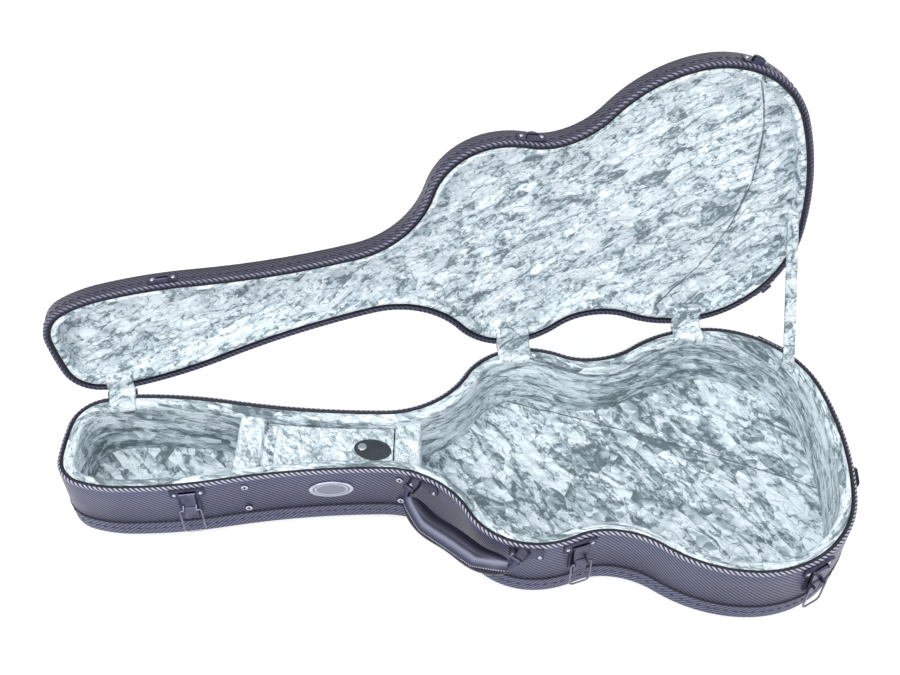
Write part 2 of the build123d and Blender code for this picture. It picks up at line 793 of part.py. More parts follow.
base_hinge_spots = []
lid_hinge_spots = []
barrel_length = (hinge_width - 2 * hinge_knuckle_gap) / 3
hinge_names = ["head", "upper", "lower"]
for name, touch in zip(hinge_names, hinge_touch):
    pin_out = hinge_reach - touch.dot(hinge_out)
    cross_plane = Plane(origin=touch, x_dir=hinge_out, z_dir=hinge_along)
    leaf_plane = Plane(origin=touch + hinge_out * 0.05, x_dir=-1 * hinge_along, z_dir=hinge_out)
    for part_of, way, length, barrels in (
        ("base", -1, hinge_leaf_drop, (-1, 1)),
        ("lid", 1, hinge_lid_leaf_rise, (0,)),
    ):
        spots = base_hinge_spots if part_of == "base" else lid_hinge_spots
        near = hinge_knuckle_radius + hinge_knuckle_gap
        tongue = hinge_knuckle_radius - hinge_leaf_thickness / 2
        with BuildPart() as leaf:
            with BuildSketch(leaf_plane):
                with Locations((0, hinge_z + way * (near + length) / 2)):
                    Rectangle(hinge_width, length - near)
                fillet(vertices().group_by(Axis.Z)[0 if way < 0 else -1], radius=3)
            extrude(amount=hinge_leaf_thickness)
            for place in barrels:
                middle = place * (barrel_length + hinge_knuckle_gap)
                with BuildSketch(cross_plane.offset(middle)):
                    with Locations((0.05 + hinge_leaf_thickness / 2, hinge_z + way * (near + tongue) / 2)):
                        Rectangle(hinge_leaf_thickness, near - tongue + hinge_leaf_thickness)
                    with Locations(((0.05 + pin_out) / 2, hinge_z + way * tongue)):
                        Rectangle(pin_out - 0.05, hinge_leaf_thickness)
                    with Locations((pin_out, hinge_z)):
                        Circle(hinge_knuckle_radius)
                        Circle(hinge_pin_radius + hinge_pin_clearance, mode=Mode.SUBTRACT)
                extrude(amount=barrel_length / 2, both=True)
            for across in (-hinge_width / 3, hinge_width / 3):
                up = hinge_z + way * (length - rivet_inset)
                spots.append((leaf_plane, across, up, hinge_leaf_thickness))
                with Locations(leaf_plane.location * Location((across, up, 0))):
                    Cylinder(rivet_shank_radius, 4 * hinge_leaf_thickness, mode=Mode.SUBTRACT)
        if part_of == "base":
            save(leaf, f"hinge_base_leaf_{name}")
        else:
            save_open(leaf, f"hinge_lid_leaf_{name}")

# Pins of the three hinges, held in the base knuckles

with BuildPart() as hinge_pins:
    for touch in hinge_touch:
        pin_out = hinge_reach - touch.dot(hinge_out)
        with BuildSketch(Plane(origin=touch, x_dir=hinge_out, z_dir=hinge_along)):
            with Locations((pin_out, hinge_z)):
                Circle(hinge_pin_radius)
        extrude(amount=hinge_width / 2 + hinge_knuckle_gap, both=True)
save(hinge_pins, "hinge_pins")

hinge_rivets_base = rivet_group(
    base_hinge_spots, rivet_head_radius, rivet_head_height, rivet_shank_radius, rivet_length
)
save(hinge_rivets_base, "hinge_rivets_base")
hinge_rivets_lid = rivet_group(
    lid_hinge_spots, rivet_head_radius, rivet_head_height, rivet_shank_radius, rivet_length
)
save_open(hinge_rivets_lid, "hinge_rivets_lid")

# Velvet flaps that hide the hinges inside, from the base rim to the lid rim

with BuildPart() as hinge_covers:
    cover_lift = rim_gap / 2 - 0.05 - hinge_cover_thickness / 2
    turn = radians(-lid_open_angle)
    for touch, width in zip(hinge_touch, hinge_cover_widths):
        pin_out = hinge_reach - touch.dot(hinge_out)
        low_side = [
            (-pin_out - hinge_cover_reach, -cover_lift),
            (-hinge_knuckle_radius - 2 * hinge_cover_thickness, -cover_lift),
        ]
        high_side = [
            (u * cos(turn) + v * sin(turn), u * sin(turn) - v * cos(turn)) for u, v in reversed(low_side)
        ]
        bend = (hinge_knuckle_radius + hinge_cover_thickness * 1.2) / sqrt(2)
        path_points = low_side + [(-bend, bend)] + high_side
        with BuildSketch(Plane(origin=touch, x_dir=hinge_out, z_dir=hinge_along)):
            with BuildLine():
                Polyline([(pin_out + u, hinge_z + v) for u, v in path_points])
            trace(line_width=hinge_cover_thickness)
        extrude(amount=width / 2, both=True)
save(hinge_covers, "hinge_covers")


# Keepers on the lid, each with a domed hook for the bail's foot

keeper_rivet_spots = []
for name, seat in latch_seats.items():
    keeper_low = lid_rim_z + keeper_above_rim
    with BuildPart() as keeper:
        with BuildSketch(seat):
            with Locations((0, keeper_low + keeper_height / 2)):
                RectangleRounded(keeper_width, keeper_height, 2)
        extrude(amount=keeper_thickness)
        with BuildSketch(seat):
            dome_top = keeper_low + keeper_lip + keeper_dome_height - keeper_dome_width / 2
            with Locations((0, dome_top)):
                Circle(keeper_dome_width / 2)
            with Locations((0, (keeper_low + keeper_lip + dome_top) / 2 - keeper_dome_width / 2)):
                Rectangle(keeper_dome_width, keeper_dome_width, mode=Mode.SUBTRACT)
            with Locations((0, (keeper_low + dome_top) / 2)):
                Rectangle(keeper_dome_width, dome_top - keeper_low)
        extrude(amount=keeper_dome_out)
        fillet(outer_face(keeper, seat).edges(), radius=keeper_lip)
        with Locations(seat.location * Location((0, keeper_low + keeper_lip + keeper_slot / 2, keeper_dome_out))):
            Box(keeper_dome_width + 1, keeper_slot, 2 * keeper_slot_depth, mode=Mode.SUBTRACT)
        for across in (-keeper_width / 2 + rivet_inset, keeper_width / 2 - rivet_inset):
            up = keeper_low + keeper_height / 2
            keeper_rivet_spots.append((seat, across, up, keeper_thickness))
            with Locations(seat.location * Location((across, up, 0))):
                Cylinder(rivet_shank_radius, 4 * keeper_thickness, mode=Mode.SUBTRACT)
    save_open(keeper, f"keeper_{name}")

keeper_rivets = rivet_group(
    keeper_rivet_spots, rivet_head_radius, rivet_head_height, rivet_shank_radius, rivet_length
)
save_open(keeper_rivets, "keeper_rivets")


# Handle brackets, each a riveted plate with two arms and a cross pin

bracket_seats = [
    wall_plane(half_length - station, -1, bracket_width)
    for station in (bracket_left_from_tail_end, bracket_right_from_tail_end)
]
handle_z = rim_z - handle_pivot_drop
pivots = []
for station in (handle_left_from_tail_end, handle_right_from_tail_end):
    spot, way = wall_point(half_length - station, -1)
    pivots.append(spot + way * handle_pivot_out + Vector(0, 0, handle_z))
handle_along = (pivots[1] - pivots[0]).normalized()
handle_out = handle_along.cross(Vector(0, 0, 1))
handle_span = (pivots[1] - pivots[0]).length
arm_middle = (handle_end_width + bracket_arm_thickness) / 2 + bracket_arm_gap
bracket_rivet_spots = []
for name, seat, pivot in zip(("left", "right"), bracket_seats, pivots):
    with BuildPart() as handle_bracket:
        for place in (-1, 1):
            arm_plane = Plane(
                origin=pivot + handle_along * (place * arm_middle), x_dir=handle_out, z_dir=handle_along
            )
            reach = 2 * handle_pivot_out
            with BuildSketch(arm_plane):
                with Locations((-reach / 2, 0)):
                    Rectangle(reach, 2 * bracket_arm_radius)
                Circle(bracket_arm_radius)
            extrude(amount=bracket_arm_thickness / 2, both=True)
        with BuildSketch(Plane(origin=pivot, x_dir=handle_out, z_dir=handle_along)):
            Circle(handle_pin_radius)
        extrude(amount=arm_middle, both=True)
        split(bisect_by=seat)
        with BuildSketch(seat):
            with Locations((0, handle_z)):
                RectangleRounded(bracket_width, bracket_height, 3)
        extrude(amount=bracket_thickness)
        for across in (-bracket_rivet_spacing / 2, bracket_rivet_spacing / 2):
            up = handle_z - bracket_height / 2 + rivet_inset / 2 + 1
            bracket_rivet_spots.append((seat, across, up, bracket_thickness))
            with Locations(seat.location * Location((across, up, 0))):
                Cylinder(rivet_shank_radius, 4 * bracket_thickness, mode=Mode.SUBTRACT)
    save(handle_bracket, f"handle_bracket_{name}")

handle_bracket_rivets = rivet_group(
    bracket_rivet_spots, rivet_head_radius, rivet_head_height, rivet_shank_radius, rivet_length
)
save(handle_bracket_rivets, "handle_bracket_rivets")

# Handle core, a bent bar with a barrel at each end that turns on its pin

tilt = radians(handle_tilt)
hang_down = Vector(0, 0, -cos(tilt)) + handle_out * sin(tilt)
hang_plane = Plane(origin=pivots[0], x_dir=handle_along, z_dir=handle_along.cross(-1 * hang_down))
bar_thickness = handle_end_width * 0.6
bar_lead = bar_thickness / 4
with BuildPart() as handle_core:
    with BuildLine(hang_plane) as handle_path:
        FilletPolyline(
            (0, 0),
            (bar_lead, -handle_arm_drop),
            (handle_bend_share * handle_span, -handle_hang),
            ((1 - handle_bend_share) * handle_span, -handle_hang),
            (handle_span - bar_lead, -handle_arm_drop),
            (handle_span, 0),
            radius=[bar_thickness, 2 * handle_hang, 2 * handle_hang, bar_thickness],
        )
    with BuildSketch(Plane(origin=pivots[0], x_dir=hang_plane.z_dir, z_dir=handle_path.line % 0)):
        RectangleRounded(handle_end_height, bar_thickness, 1.5)
    sweep()
    for pivot in pivots:
        with BuildSketch(Plane(origin=pivot, x_dir=handle_out, z_dir=handle_along)):
            Circle(handle_barrel_radius)
        extrude(amount=handle_end_width / 2, both=True)
        with BuildSketch(Plane(origin=pivot, x_dir=handle_out, z_dir=handle_along)):
            Circle(handle_pin_radius + handle_pin_clearance)
        extrude(amount=handle_end_width, both=True, mode=Mode.SUBTRACT)
save(handle_core, "handle_core")

# Padded grip moulded round the core, boxy, with ends that taper towards the pivots

half_shares = [(0.075, 0.42), (0.11, 0.68), (0.16, 0.86), (0.24, 0.97)]
grip_shares = half_shares + [(0.5, 1.0)] + [(1 - along, share) for along, share in reversed(half_shares)]
with BuildPart() as handle_grip:
    for along, share in grip_shares:
        with BuildSketch(
            Plane(origin=handle_path.line @ along, x_dir=hang_plane.z_dir, z_dir=handle_path.line % along)
        ):
            RectangleRounded(handle_grip_width * share, handle_grip_height * share, handle_grip_round * share)
    loft()
    add(handle_core.part, mode=Mode.SUBTRACT)
save(handle_grip, "handle_grip")


def tail_point(across, inset):
    """Point of the tail's end wall at a distance from the centre line, and its way out."""
    centre = Vector(half_length - tail_end_radius, 0, 0)
    radius = tail_end_radius - inset
    spot = Vector(half_length - tail_end_radius + sqrt(radius ** 2 - across ** 2), across, 0)
    return spot, (spot - centre).normalized()


# Rubber bumper on the tail, just under the rim

bumper_spot, bumper_way = tail_point(-bumper_from_centre, 0)
bumper_plane = Plane(origin=bumper_spot + bumper_way * 0.05, x_dir=(0, 0, 1), z_dir=bumper_way)
with BuildPart() as tail_bumper:
    with BuildSketch(bumper_plane):
        with Locations((rim_z - bumper_drop, 0)):
            RectangleRounded(bumper_height, bumper_length, bumper_height * 0.45)
    extrude(amount=bumper_out)
    fillet(outer_face(tail_bumper, bumper_plane).edges(), radius=bumper_out * 0.6)
save(tail_bumper, "tail_bumper")

# Stay strap that stops the open lid, with a sewn patch at each end

base_spot, base_way = wall_point(half_length - strap_base_from_tail_end, 1, inner_inset)
lid_spot, lid_way = tail_point(strap_lid_from_centre, lid_inner_inset)
patch_rise = strap_anchor_size ** 2 / (8 * (tail_arcs(lower_bout)[0][1] - inner_inset)) + 0.1
with BuildPart() as strap_anchor_base:
    patch_plane = Plane(origin=base_spot - base_way * patch_rise, x_dir=(0, 0, 1), z_dir=-1 * base_way)
    with BuildSketch(patch_plane):
        with Locations((rim_z - strap_base_drop - strap_anchor_size / 2, 0)):
            Rectangle(strap_anchor_size, strap_anchor_size)
    extrude(amount=strap_anchor_thickness)
save(strap_anchor_base, "strap_anchor_base")

with BuildPart() as strap_anchor_lid:
    lid_patch_plane = Plane(origin=lid_spot - lid_way * patch_rise, x_dir=(0, 0, 1), z_dir=-1 * lid_way)
    with BuildSketch(lid_patch_plane):
        with Locations((lid_rim_z + strap_lid_depth + strap_anchor_size / 4, 0)):
            Rectangle(strap_anchor_size / 2, strap_anchor_size)
    extrude(amount=strap_anchor_thickness)
save_open(strap_anchor_lid, "strap_anchor_lid")

with BuildPart() as stay_strap:
    strap_foot = base_spot - base_way * strap_stand_off + Vector(0, 0, rim_z - strap_base_drop)
    strap_bend = strap_foot + Vector(0, 0, strap_base_drop + strap_over_rim)
    shut_end = Vertex(lid_spot - lid_way * strap_stand_off + Vector(0, 0, lid_rim_z + strap_lid_depth))
    strap_top = shut_end.rotate(hinge_axis, -lid_open_angle).center()
    with BuildLine():
        Polyline(strap_foot, strap_bend, strap_top)
    with BuildSketch(Plane(origin=strap_foot, x_dir=base_way.cross(Vector(0, 0, 1)), z_dir=(0, 0, 1))):
        Rectangle(strap_width, strap_thickness)
    sweep(transition=Transition.RIGHT)
save(stay_strap, "stay_strap")
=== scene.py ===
import json

import bmesh
import bpy
import numpy as np
from mathutils import Matrix, Vector


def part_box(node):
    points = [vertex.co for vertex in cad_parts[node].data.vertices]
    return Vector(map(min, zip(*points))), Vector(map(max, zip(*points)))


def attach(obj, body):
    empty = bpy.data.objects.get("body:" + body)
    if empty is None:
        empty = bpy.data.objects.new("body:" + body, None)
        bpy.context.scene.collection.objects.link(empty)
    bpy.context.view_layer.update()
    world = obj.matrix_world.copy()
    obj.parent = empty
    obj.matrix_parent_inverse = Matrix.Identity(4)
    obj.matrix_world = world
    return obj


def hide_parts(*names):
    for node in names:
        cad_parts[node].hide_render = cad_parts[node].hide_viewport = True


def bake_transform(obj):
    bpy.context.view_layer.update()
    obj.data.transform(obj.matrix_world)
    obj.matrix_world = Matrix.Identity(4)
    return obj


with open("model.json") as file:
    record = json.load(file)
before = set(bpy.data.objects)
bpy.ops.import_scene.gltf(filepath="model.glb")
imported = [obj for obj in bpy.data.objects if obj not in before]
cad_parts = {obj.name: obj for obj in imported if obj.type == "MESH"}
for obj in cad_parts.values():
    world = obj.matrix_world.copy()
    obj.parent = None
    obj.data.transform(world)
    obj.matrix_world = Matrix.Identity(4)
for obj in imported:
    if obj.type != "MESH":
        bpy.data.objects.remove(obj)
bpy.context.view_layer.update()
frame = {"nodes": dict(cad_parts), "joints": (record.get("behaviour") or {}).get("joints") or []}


# The camera stands in front of the case and looks down into it, as a person would.
# It was worked out from the case's own outline, so that the open lid, the rim and
# the bottom band fall where the photograph has them.
view_pitch, view_yaw, view_roll = 0.7961, -0.0016, -0.0037
camera_place, film_width, focal_length = (-0.00385, -0.96353, 1.3021), 36.0, 43.48
level_ahead = Vector((np.sin(view_yaw), np.cos(view_yaw), 0.0))
ahead = level_ahead * np.cos(view_pitch) - Vector((0.0, 0.0, np.sin(view_pitch)))
across = Vector((np.cos(view_yaw), -np.sin(view_yaw), 0.0))
over = across.cross(ahead)
rolled_across = across * np.cos(view_roll) + over * np.sin(view_roll)
rolled_over = over * np.cos(view_roll) - across * np.sin(view_roll)
camera_turn = Matrix((rolled_across, rolled_over, -ahead)).transposed()
lens_data = bpy.data.cameras.new("case_camera")
lens_data.sensor_width = film_width
lens_data.lens = focal_length
case_camera = bpy.data.objects.new("case_camera", lens_data)
bpy.context.scene.collection.objects.link(case_camera)
case_camera.matrix_world = Matrix.Translation(camera_place) @ camera_turn.to_4x4()
bpy.context.scene.camera = case_camera


# A white sweep under the case. It shows as plain white to the camera and in the
# polished metal, and it keeps the soft shadow where the case stands on it.
def new_finish(name, roughness=0.5, metallic=0.0, **constants):
    """Material with one Principled shader, whose constants go straight on its sockets."""
    made = bpy.data.materials.new(name)
    made.use_nodes = True
    shader = made.node_tree.nodes["Principled BSDF"]
    shader.inputs["Roughness"].default_value = roughness
    shader.inputs["Metallic"].default_value = metallic
    for socket, value in constants.items():
        shader.inputs[socket.replace("_", " ").title().replace("Ior", "IOR")].default_value = value
    return made, made.node_tree, shader


class Value:
    """Number that varies over a surface. Each step of arithmetic adds one Math node."""

    def __init__(self, tree, socket):
        self.tree = tree
        self.socket = socket

    def __add__(self, other):
        return calc(self.tree, "ADD", self, other)

    def __radd__(self, other):
        return calc(self.tree, "ADD", other, self)

    def __sub__(self, other):
        return calc(self.tree, "SUBTRACT", self, other)

    def __rsub__(self, other):
        return calc(self.tree, "SUBTRACT", other, self)

    def __mul__(self, other):
        return calc(self.tree, "MULTIPLY", self, other)

    def __truediv__(self, other):
        return calc(self.tree, "DIVIDE", self, other)

    def __pow__(self, other):
        return calc(self.tree, "POWER", self, other)

    def __gt__(self, other):
        return calc(self.tree, "GREATER_THAN", self, other)

    def __lt__(self, other):
        return calc(self.tree, "LESS_THAN", self, other)

    def __abs__(self):
        return calc(self.tree, "ABSOLUTE", self)


def feed(tree, value, socket):
    """Links a value or another socket to a socket, or sets it to a number or a colour."""
    if isinstance(value, Value):
        tree.links.new(value.socket, socket)
    elif isinstance(value, bpy.types.NodeSocket):
        tree.links.new(value, socket)
    elif isinstance(value, tuple) and socket.type == "RGBA":
        socket.default_value = (*value, 1.0)
    else:
        socket.default_value = value


def calc(tree, operation, *values):
    """One Math node; each value is a number, a Value or a socket."""
    node = tree.nodes.new("ShaderNodeMath")
    node.operation = operation
    for socket, value in zip(node.inputs, values):
        feed(tree, value, socket)
    return Value(tree, node.outputs[0])


floor_finish, floor_tree, floor_shader = new_finish("studio_floor", 0.9)
floor_shader.inputs["Base Color"].default_value = (0.8, 0.81, 0.83, 1.0)
shown = floor_tree.nodes.new("ShaderNodeBsdfDiffuse")
shown.inputs["Color"].default_value = (0.42, 0.42, 0.42, 1.0)
glow = floor_tree.nodes.new("ShaderNodeEmission")
glow.inputs["Strength"].default_value = 0.76
shown_white = floor_tree.nodes.new("ShaderNodeAddShader")
floor_tree.links.new(shown.outputs[0], shown_white.inputs[0])
floor_tree.links.new(glow.outputs[0], shown_white.inputs[1])


def seen_white(tree, plain, white_shader, output):
    """Shows the white shader to the camera and to mirrored or clear surfaces, and
    the plain one to all other light."""
    rays = tree.nodes.new("ShaderNodeLightPath")
    either = calc(tree, "MAXIMUM", rays.outputs["Is Camera Ray"], rays.outputs["Is Glossy Ray"])
    either = calc(tree, "MAXIMUM", either, rays.outputs["Is Transmission Ray"])
    pick = tree.nodes.new("ShaderNodeMixShader")
    for socket, value in zip(pick.inputs, (either, plain, white_shader)):
        feed(tree, value, socket)
    feed(tree, pick.outputs[0], output.inputs["Surface"])


seen_white(floor_tree, floor_shader.outputs[0], shown_white.outputs[0], floor_tree.nodes["Material Output"])
floor_mesh = bpy.data.meshes.new("studio_floor")
reach = 6.0
floor_mesh.from_pydata(
    [(-reach, -reach, 0.0), (reach, -reach, 0.0), (reach, reach, 0.0), (-reach, reach, 0.0)],
    [],
    [(0, 1, 2, 3)],
)
studio_floor = bpy.data.objects.new("studio_floor", floor_mesh)
studio_floor.data.materials.append(floor_finish)
bpy.context.scene.collection.objects.link(studio_floor)

studio = bpy.data.worlds.new("studio")
studio.use_nodes = True
bpy.context.scene.world = studio
sky_tree = studio.node_tree
sky = sky_tree.nodes["Background"]
sky.inputs["Color"].default_value = (0.93, 0.95, 1.0, 1.0)
sky.inputs["Strength"].default_value = 0.72
white = sky_tree.nodes.new("ShaderNodeBackground")
white.inputs["Color"].default_value = (1.0, 1.0, 1.0, 1.0)
seen_white(sky_tree, sky.outputs[0], white.outputs[0], sky_tree.nodes["World Output"])


def hang_lamp(name, place, aim, size, power):
    """Square soft lamp at a place, turned to look at a point."""
    light = bpy.data.lights.new(name, "AREA")
    light.shape = "SQUARE"
    light.size = size
    light.energy = power
    lamp = bpy.data.objects.new(name, light)
    lamp.location = place
    lamp.rotation_euler = (Vector(aim) - Vector(place)).to_track_quat("-Z", "Y").to_euler()
    bpy.context.scene.collection.objects.link(lamp)


hang_lamp("top_softbox", (-0.5, -0.6, 2.6), (0.0, 0.1, 0.1), 1.8, 40.0)
hang_lamp("side_softbox", (2.0, -1.6, 1.5), (0.2, 0.0, 0.1), 1.4, 11.0)
hang_lamp("front_softbox", (-1.2, -2.3, 1.5), (0.0, 0.2, 0.3), 1.2, 18.0)
bpy.context.scene.view_settings.view_transform = "Standard"


# The outline of the case, as the wood shop bends it: arcs that touch each other,
# from the rounded head past the neck, both bouts and the waist to the tail. It is
# the same on both sides, and every wall, band and lining below is carried along it.
case_half_length = 0.55
head, neck = (-0.452, 0.087), (-0.1, 0.055)
upper_bout, waist, lower_bout = (0.106, 0.179), (0.199, 0.1575), (0.388, 0.221)


def head_arcs(end_radius, corner_radius, side_radius):
    """The head's end, corner and side arcs; the corner touches the other two."""
    end = np.array((-case_half_length + end_radius, 0.0))
    side = np.array((head[0], head[1] - side_radius))
    gap = side - end
    apart = np.hypot(*gap)
    along = ((end_radius - corner_radius) ** 2 - (side_radius - corner_radius) ** 2 + apart**2) / (2 * apart)
    beside = np.sqrt((end_radius - corner_radius) ** 2 - along**2)
    corner = end + (along * gap + beside * np.array((gap[1], -gap[0]))) / apart
    first = np.arctan2(*(corner - end)[::-1])
    second = np.arctan2(*(corner - side)[::-1])
    return [
        (end, end_radius, np.pi, first, 1),
        (corner, corner_radius, first, second, 1),
        (side, side_radius, second, np.pi / 2, 1),
    ]


def swing_arcs(start, stop, start_radius):
    """Two arcs that touch between places where the outline runs along the case."""
    run, rise = stop[0] - start[0], stop[1] - start[1]
    quarter = np.pi / 2
    turn = 2 * np.arctan2(abs(rise), run)
    stop_radius = (run**2 + rise**2) / (2 * abs(rise)) - start_radius
    way = 1 if rise < 0 else -1
    first_centre = np.array((start[0], start[1] - way * start_radius))
    second_centre = np.array((stop[0], stop[1] + way * stop_radius))
    return [
        (first_centre, start_radius, way * quarter, way * (quarter - turn), way),
        (second_centre, stop_radius, way * (-quarter - turn), -way * quarter, -way),
    ]


def tail_arcs(end_radius):
    """The tail's side and end arcs."""
    run = case_half_length - lower_bout[0]
    side_radius = (2 * run * end_radius - run**2 - lower_bout[1] ** 2) / (2 * (end_radius - lower_bout[1]))
    side = np.array((lower_bout[0], lower_bout[1] - side_radius))
    end = np.array((case_half_length - end_radius, 0.0))
    turn = np.arctan2(*(side - end)[::-1])
    return [(side, side_radius, np.pi / 2, turn, 1), (end, end_radius, turn, 0.0, 1)]


bout_drop = upper_bout[1] - waist[1]
waist_radii = ((waist[0] - upper_bout[0]) ** 2 + bout_drop**2) / (2 * bout_drop)
half_outline = (
    head_arcs(end_radius=0.4, corner_radius=0.055, side_radius=0.192)
    + swing_arcs(head, neck, start_radius=0.716)
    + swing_arcs(neck, upper_bout, start_radius=0.129)
    + swing_arcs(upper_bout, waist, start_radius=waist_radii - 0.085)
    + swing_arcs(waist, lower_bout, start_radius=0.115)
    + tail_arcs(end_radius=0.47)
)


def walk_outline(step):
    """Closed outline as points, outward normals and length walked, one step apart."""
    points, normals = [], []
    for centre, radius, start, stop, bulge in half_outline:
        count = max(3, int(radius * abs(stop - start) / step))
        angles = start + (stop - start) * np.arange(count) / count
        ray = np.stack((np.cos(angles), np.sin(angles)), 1)
        points.append(centre + radius * ray)
        normals.append(ray * bulge)
    points = np.concatenate(points + [np.array([[case_half_length, 0.0]])])
    normals = np.concatenate(normals + [np.array([[1.0, 0.0]])])
    flip = np.array((1.0, -1.0))
    points = np.concatenate((points, points[-2:0:-1] * flip))
    normals = np.concatenate((normals, normals[-2:0:-1] * flip))
    steps = np.hypot(*(np.roll(points, -1, 0) - points).T)
    return points, normals, np.concatenate(([0.0], np.cumsum(steps)))


def grid_piece(name, places, walked_u, walked_v, closed_u=False, closed_v=False):
    """Mesh of quads over a grid of places, with a map in metres along both ways."""
    rows, columns = places.shape[:2]
    row = np.arange(rows if closed_u else rows - 1)
    column = np.arange(columns if closed_v else columns - 1)
    r, c = (part.ravel() for part in np.meshgrid(row, column, indexing="ij"))
    r2, c2 = (r + 1) % rows, (c + 1) % columns
    faces = np.stack((r * columns + c, r * columns + c2, r2 * columns + c2, r2 * columns + c), 1)
    mesh = bpy.data.meshes.new(name)
    mesh.from_pydata(places.reshape(-1, 3), [], faces.tolist())
    chart = mesh.uv_layers.new(name="Walk")
    u = np.stack((walked_u[r], walked_u[r], walked_u[r + 1], walked_u[r + 1]), 1)
    v = np.stack((walked_v[c], walked_v[c + 1], walked_v[c + 1], walked_v[c]), 1)
    chart.data.foreach_set("uv", np.stack((u, v), 2).ravel())
    mesh.shade_smooth()
    piece = bpy.data.objects.new(name, mesh)
    bpy.context.scene.collection.objects.link(piece)
    return piece


outline = walk_outline(0.004)


def carried(profile, walk):
    """Places of a closed profile of (inset, height) points carried along the outline,
    with the lengths walked along the outline and round the profile."""
    points, normals, walked = walk
    profile = np.array(profile)
    flat = points[:, None] - normals[:, None] * profile[None, :, :1]
    tall = np.broadcast_to(profile[None, :, 1:], flat.shape[:2] + (1,))
    steps = np.hypot(*(np.roll(profile, -1, 0) - profile).T)
    return np.concatenate((flat, tall), 2), walked, np.concatenate(([0.0], np.cumsum(steps)))


def carry(name, profile, shift=None):
    """Closed wall all the way round the case, from a profile of (inset, height) points."""
    places, walked, round_walk = carried(profile, outline)
    if shift is not None:
        places = shift(places)
    return grid_piece(name, places, walked, round_walk, closed_u=True, closed_v=True)


def rounded(profile, radii, pieces=5):
    """Profile with each inner corner turned into an arc of its radius."""
    profile = [np.array(point, float) for point in profile]
    path = [profile[0]]
    for before, corner, after, radius in zip(profile, profile[1:], profile[2:], radii):
        if radius == 0:
            path.append(corner)
            continue
        back = (before - corner) / np.hypot(*(before - corner))
        on = (after - corner) / np.hypot(*(after - corner))
        half = np.arccos(np.clip(back @ on, -1, 1)) / 2
        centre = corner + (back + on) / np.hypot(*(back + on)) * radius / np.sin(half)
        ends = [corner + way * radius / np.tan(half) - centre for way in (back, on)]
        first, last = (np.arctan2(end[1], end[0]) for end in ends)
        sweep = (last - first + np.pi) % (2 * np.pi) - np.pi
        for share in np.linspace(0, 1, pieces):
            angle = first + sweep * share
            path.append(centre + radius * np.array((np.cos(angle), np.sin(angle))))
    return path + [profile[-1]]


# Base wall: bent plywood wrapped in vinyl that is printed and embossed like a
# twill weave. The vinyl is drawn over the rim, where its slanting threads get a
# painted highlight as a row of short dashes, and the gap inside gets painted shade.
def effect_group(name, inputs, outputs):
    """Empty shader group with named sockets for numbers (f) and vectors (v)."""
    group = bpy.data.node_groups.new(name, "ShaderNodeTree")
    kinds = {"v": "NodeSocketVector", "f": "NodeSocketFloat"}
    for label, kind, value in inputs:
        socket = group.interface.new_socket(label, in_out="INPUT", socket_type=kinds[kind])
        if value is not None:
            socket.default_value = value
    for label, kind in outputs:
        group.interface.new_socket(label, in_out="OUTPUT", socket_type=kinds[kind])
    return group, group.nodes.new("NodeGroupInput"), group.nodes.new("NodeGroupOutput")


def add_effect(tree, group, vector, **values):
    """Places a shader group in a material with its own values."""
    node = tree.nodes.new("ShaderNodeGroup")
    node.node_tree = group
    tree.links.new(vector, node.inputs["Vector"])
    for label, value in values.items():
        node.inputs[label].default_value = value
    return node


def noise_of(tree, vector, scale, detail=2.0, roughness=0.5, distortion=0.0):
    """Noise from 0 to 1 over a vector."""
    node = tree.nodes.new("ShaderNodeTexNoise")
    settings = {"Scale": scale, "Detail": detail, "Roughness": roughness, "Distortion": distortion}
    for label, value in settings.items():
        node.inputs[label].default_value = value
    tree.links.new(vector, node.inputs["Vector"])
    return Value(tree, node.outputs["Fac"])


def ramp_of(tree, value, *stops):
    """Colour ramp through (place, colour) stops."""
    node = tree.nodes.new("ShaderNodeValToRGB")
    bands = node.color_ramp.elements
    bands[0].position, bands[0].color = stops[0][0], (*stops[0][1], 1.0)
    bands[1].position, bands[1].color = stops[-1][0], (*stops[-1][1], 1.0)
    for place, colour in stops[1:-1]:
        bands.new(place).color = (*colour, 1.0)
    feed(tree, value, node.inputs[0])
    return node.outputs["Color"]


def mix_of(tree, share, first, second):
    """Colour that goes from the first to the second as share goes from 0 to 1."""
    node = tree.nodes.new("ShaderNodeMix")
    node.data_type = "RGBA"
    feed(tree, share, node.inputs["Factor"])
    feed(tree, first, node.inputs[6])
    feed(tree, second, node.inputs[7])
    return node.outputs[2]


def bump_of(tree, height, strength, distance, shader, normal=None):
    """Bump node that feeds the shader's normal."""
    node = tree.nodes.new("ShaderNodeBump")
    node.inputs["Strength"].default_value = strength
    node.inputs["Distance"].default_value = distance
    feed(tree, height, node.inputs["Height"])
    if normal is not None:
        feed(tree, normal, node.inputs["Normal"])
    feed(tree, node.outputs[0], shader.inputs["Normal"])
    return node.outputs[0]


def lengths_of(tree, vector):
    """The three lengths of a vector."""
    node = tree.nodes.new("ShaderNodeSeparateXYZ")
    tree.links.new(vector, node.inputs[0])
    return [Value(tree, socket) for socket in node.outputs]


def object_place(tree):
    """Place on the object, in metres."""
    return tree.nodes.new("ShaderNodeTexCoord").outputs["Object"]


def walk_map(tree):
    """The piece's own map: metres walked along it and round it."""
    chart = tree.nodes.new("ShaderNodeUVMap")
    chart.uv_map = "Walk"
    return chart.outputs[0]


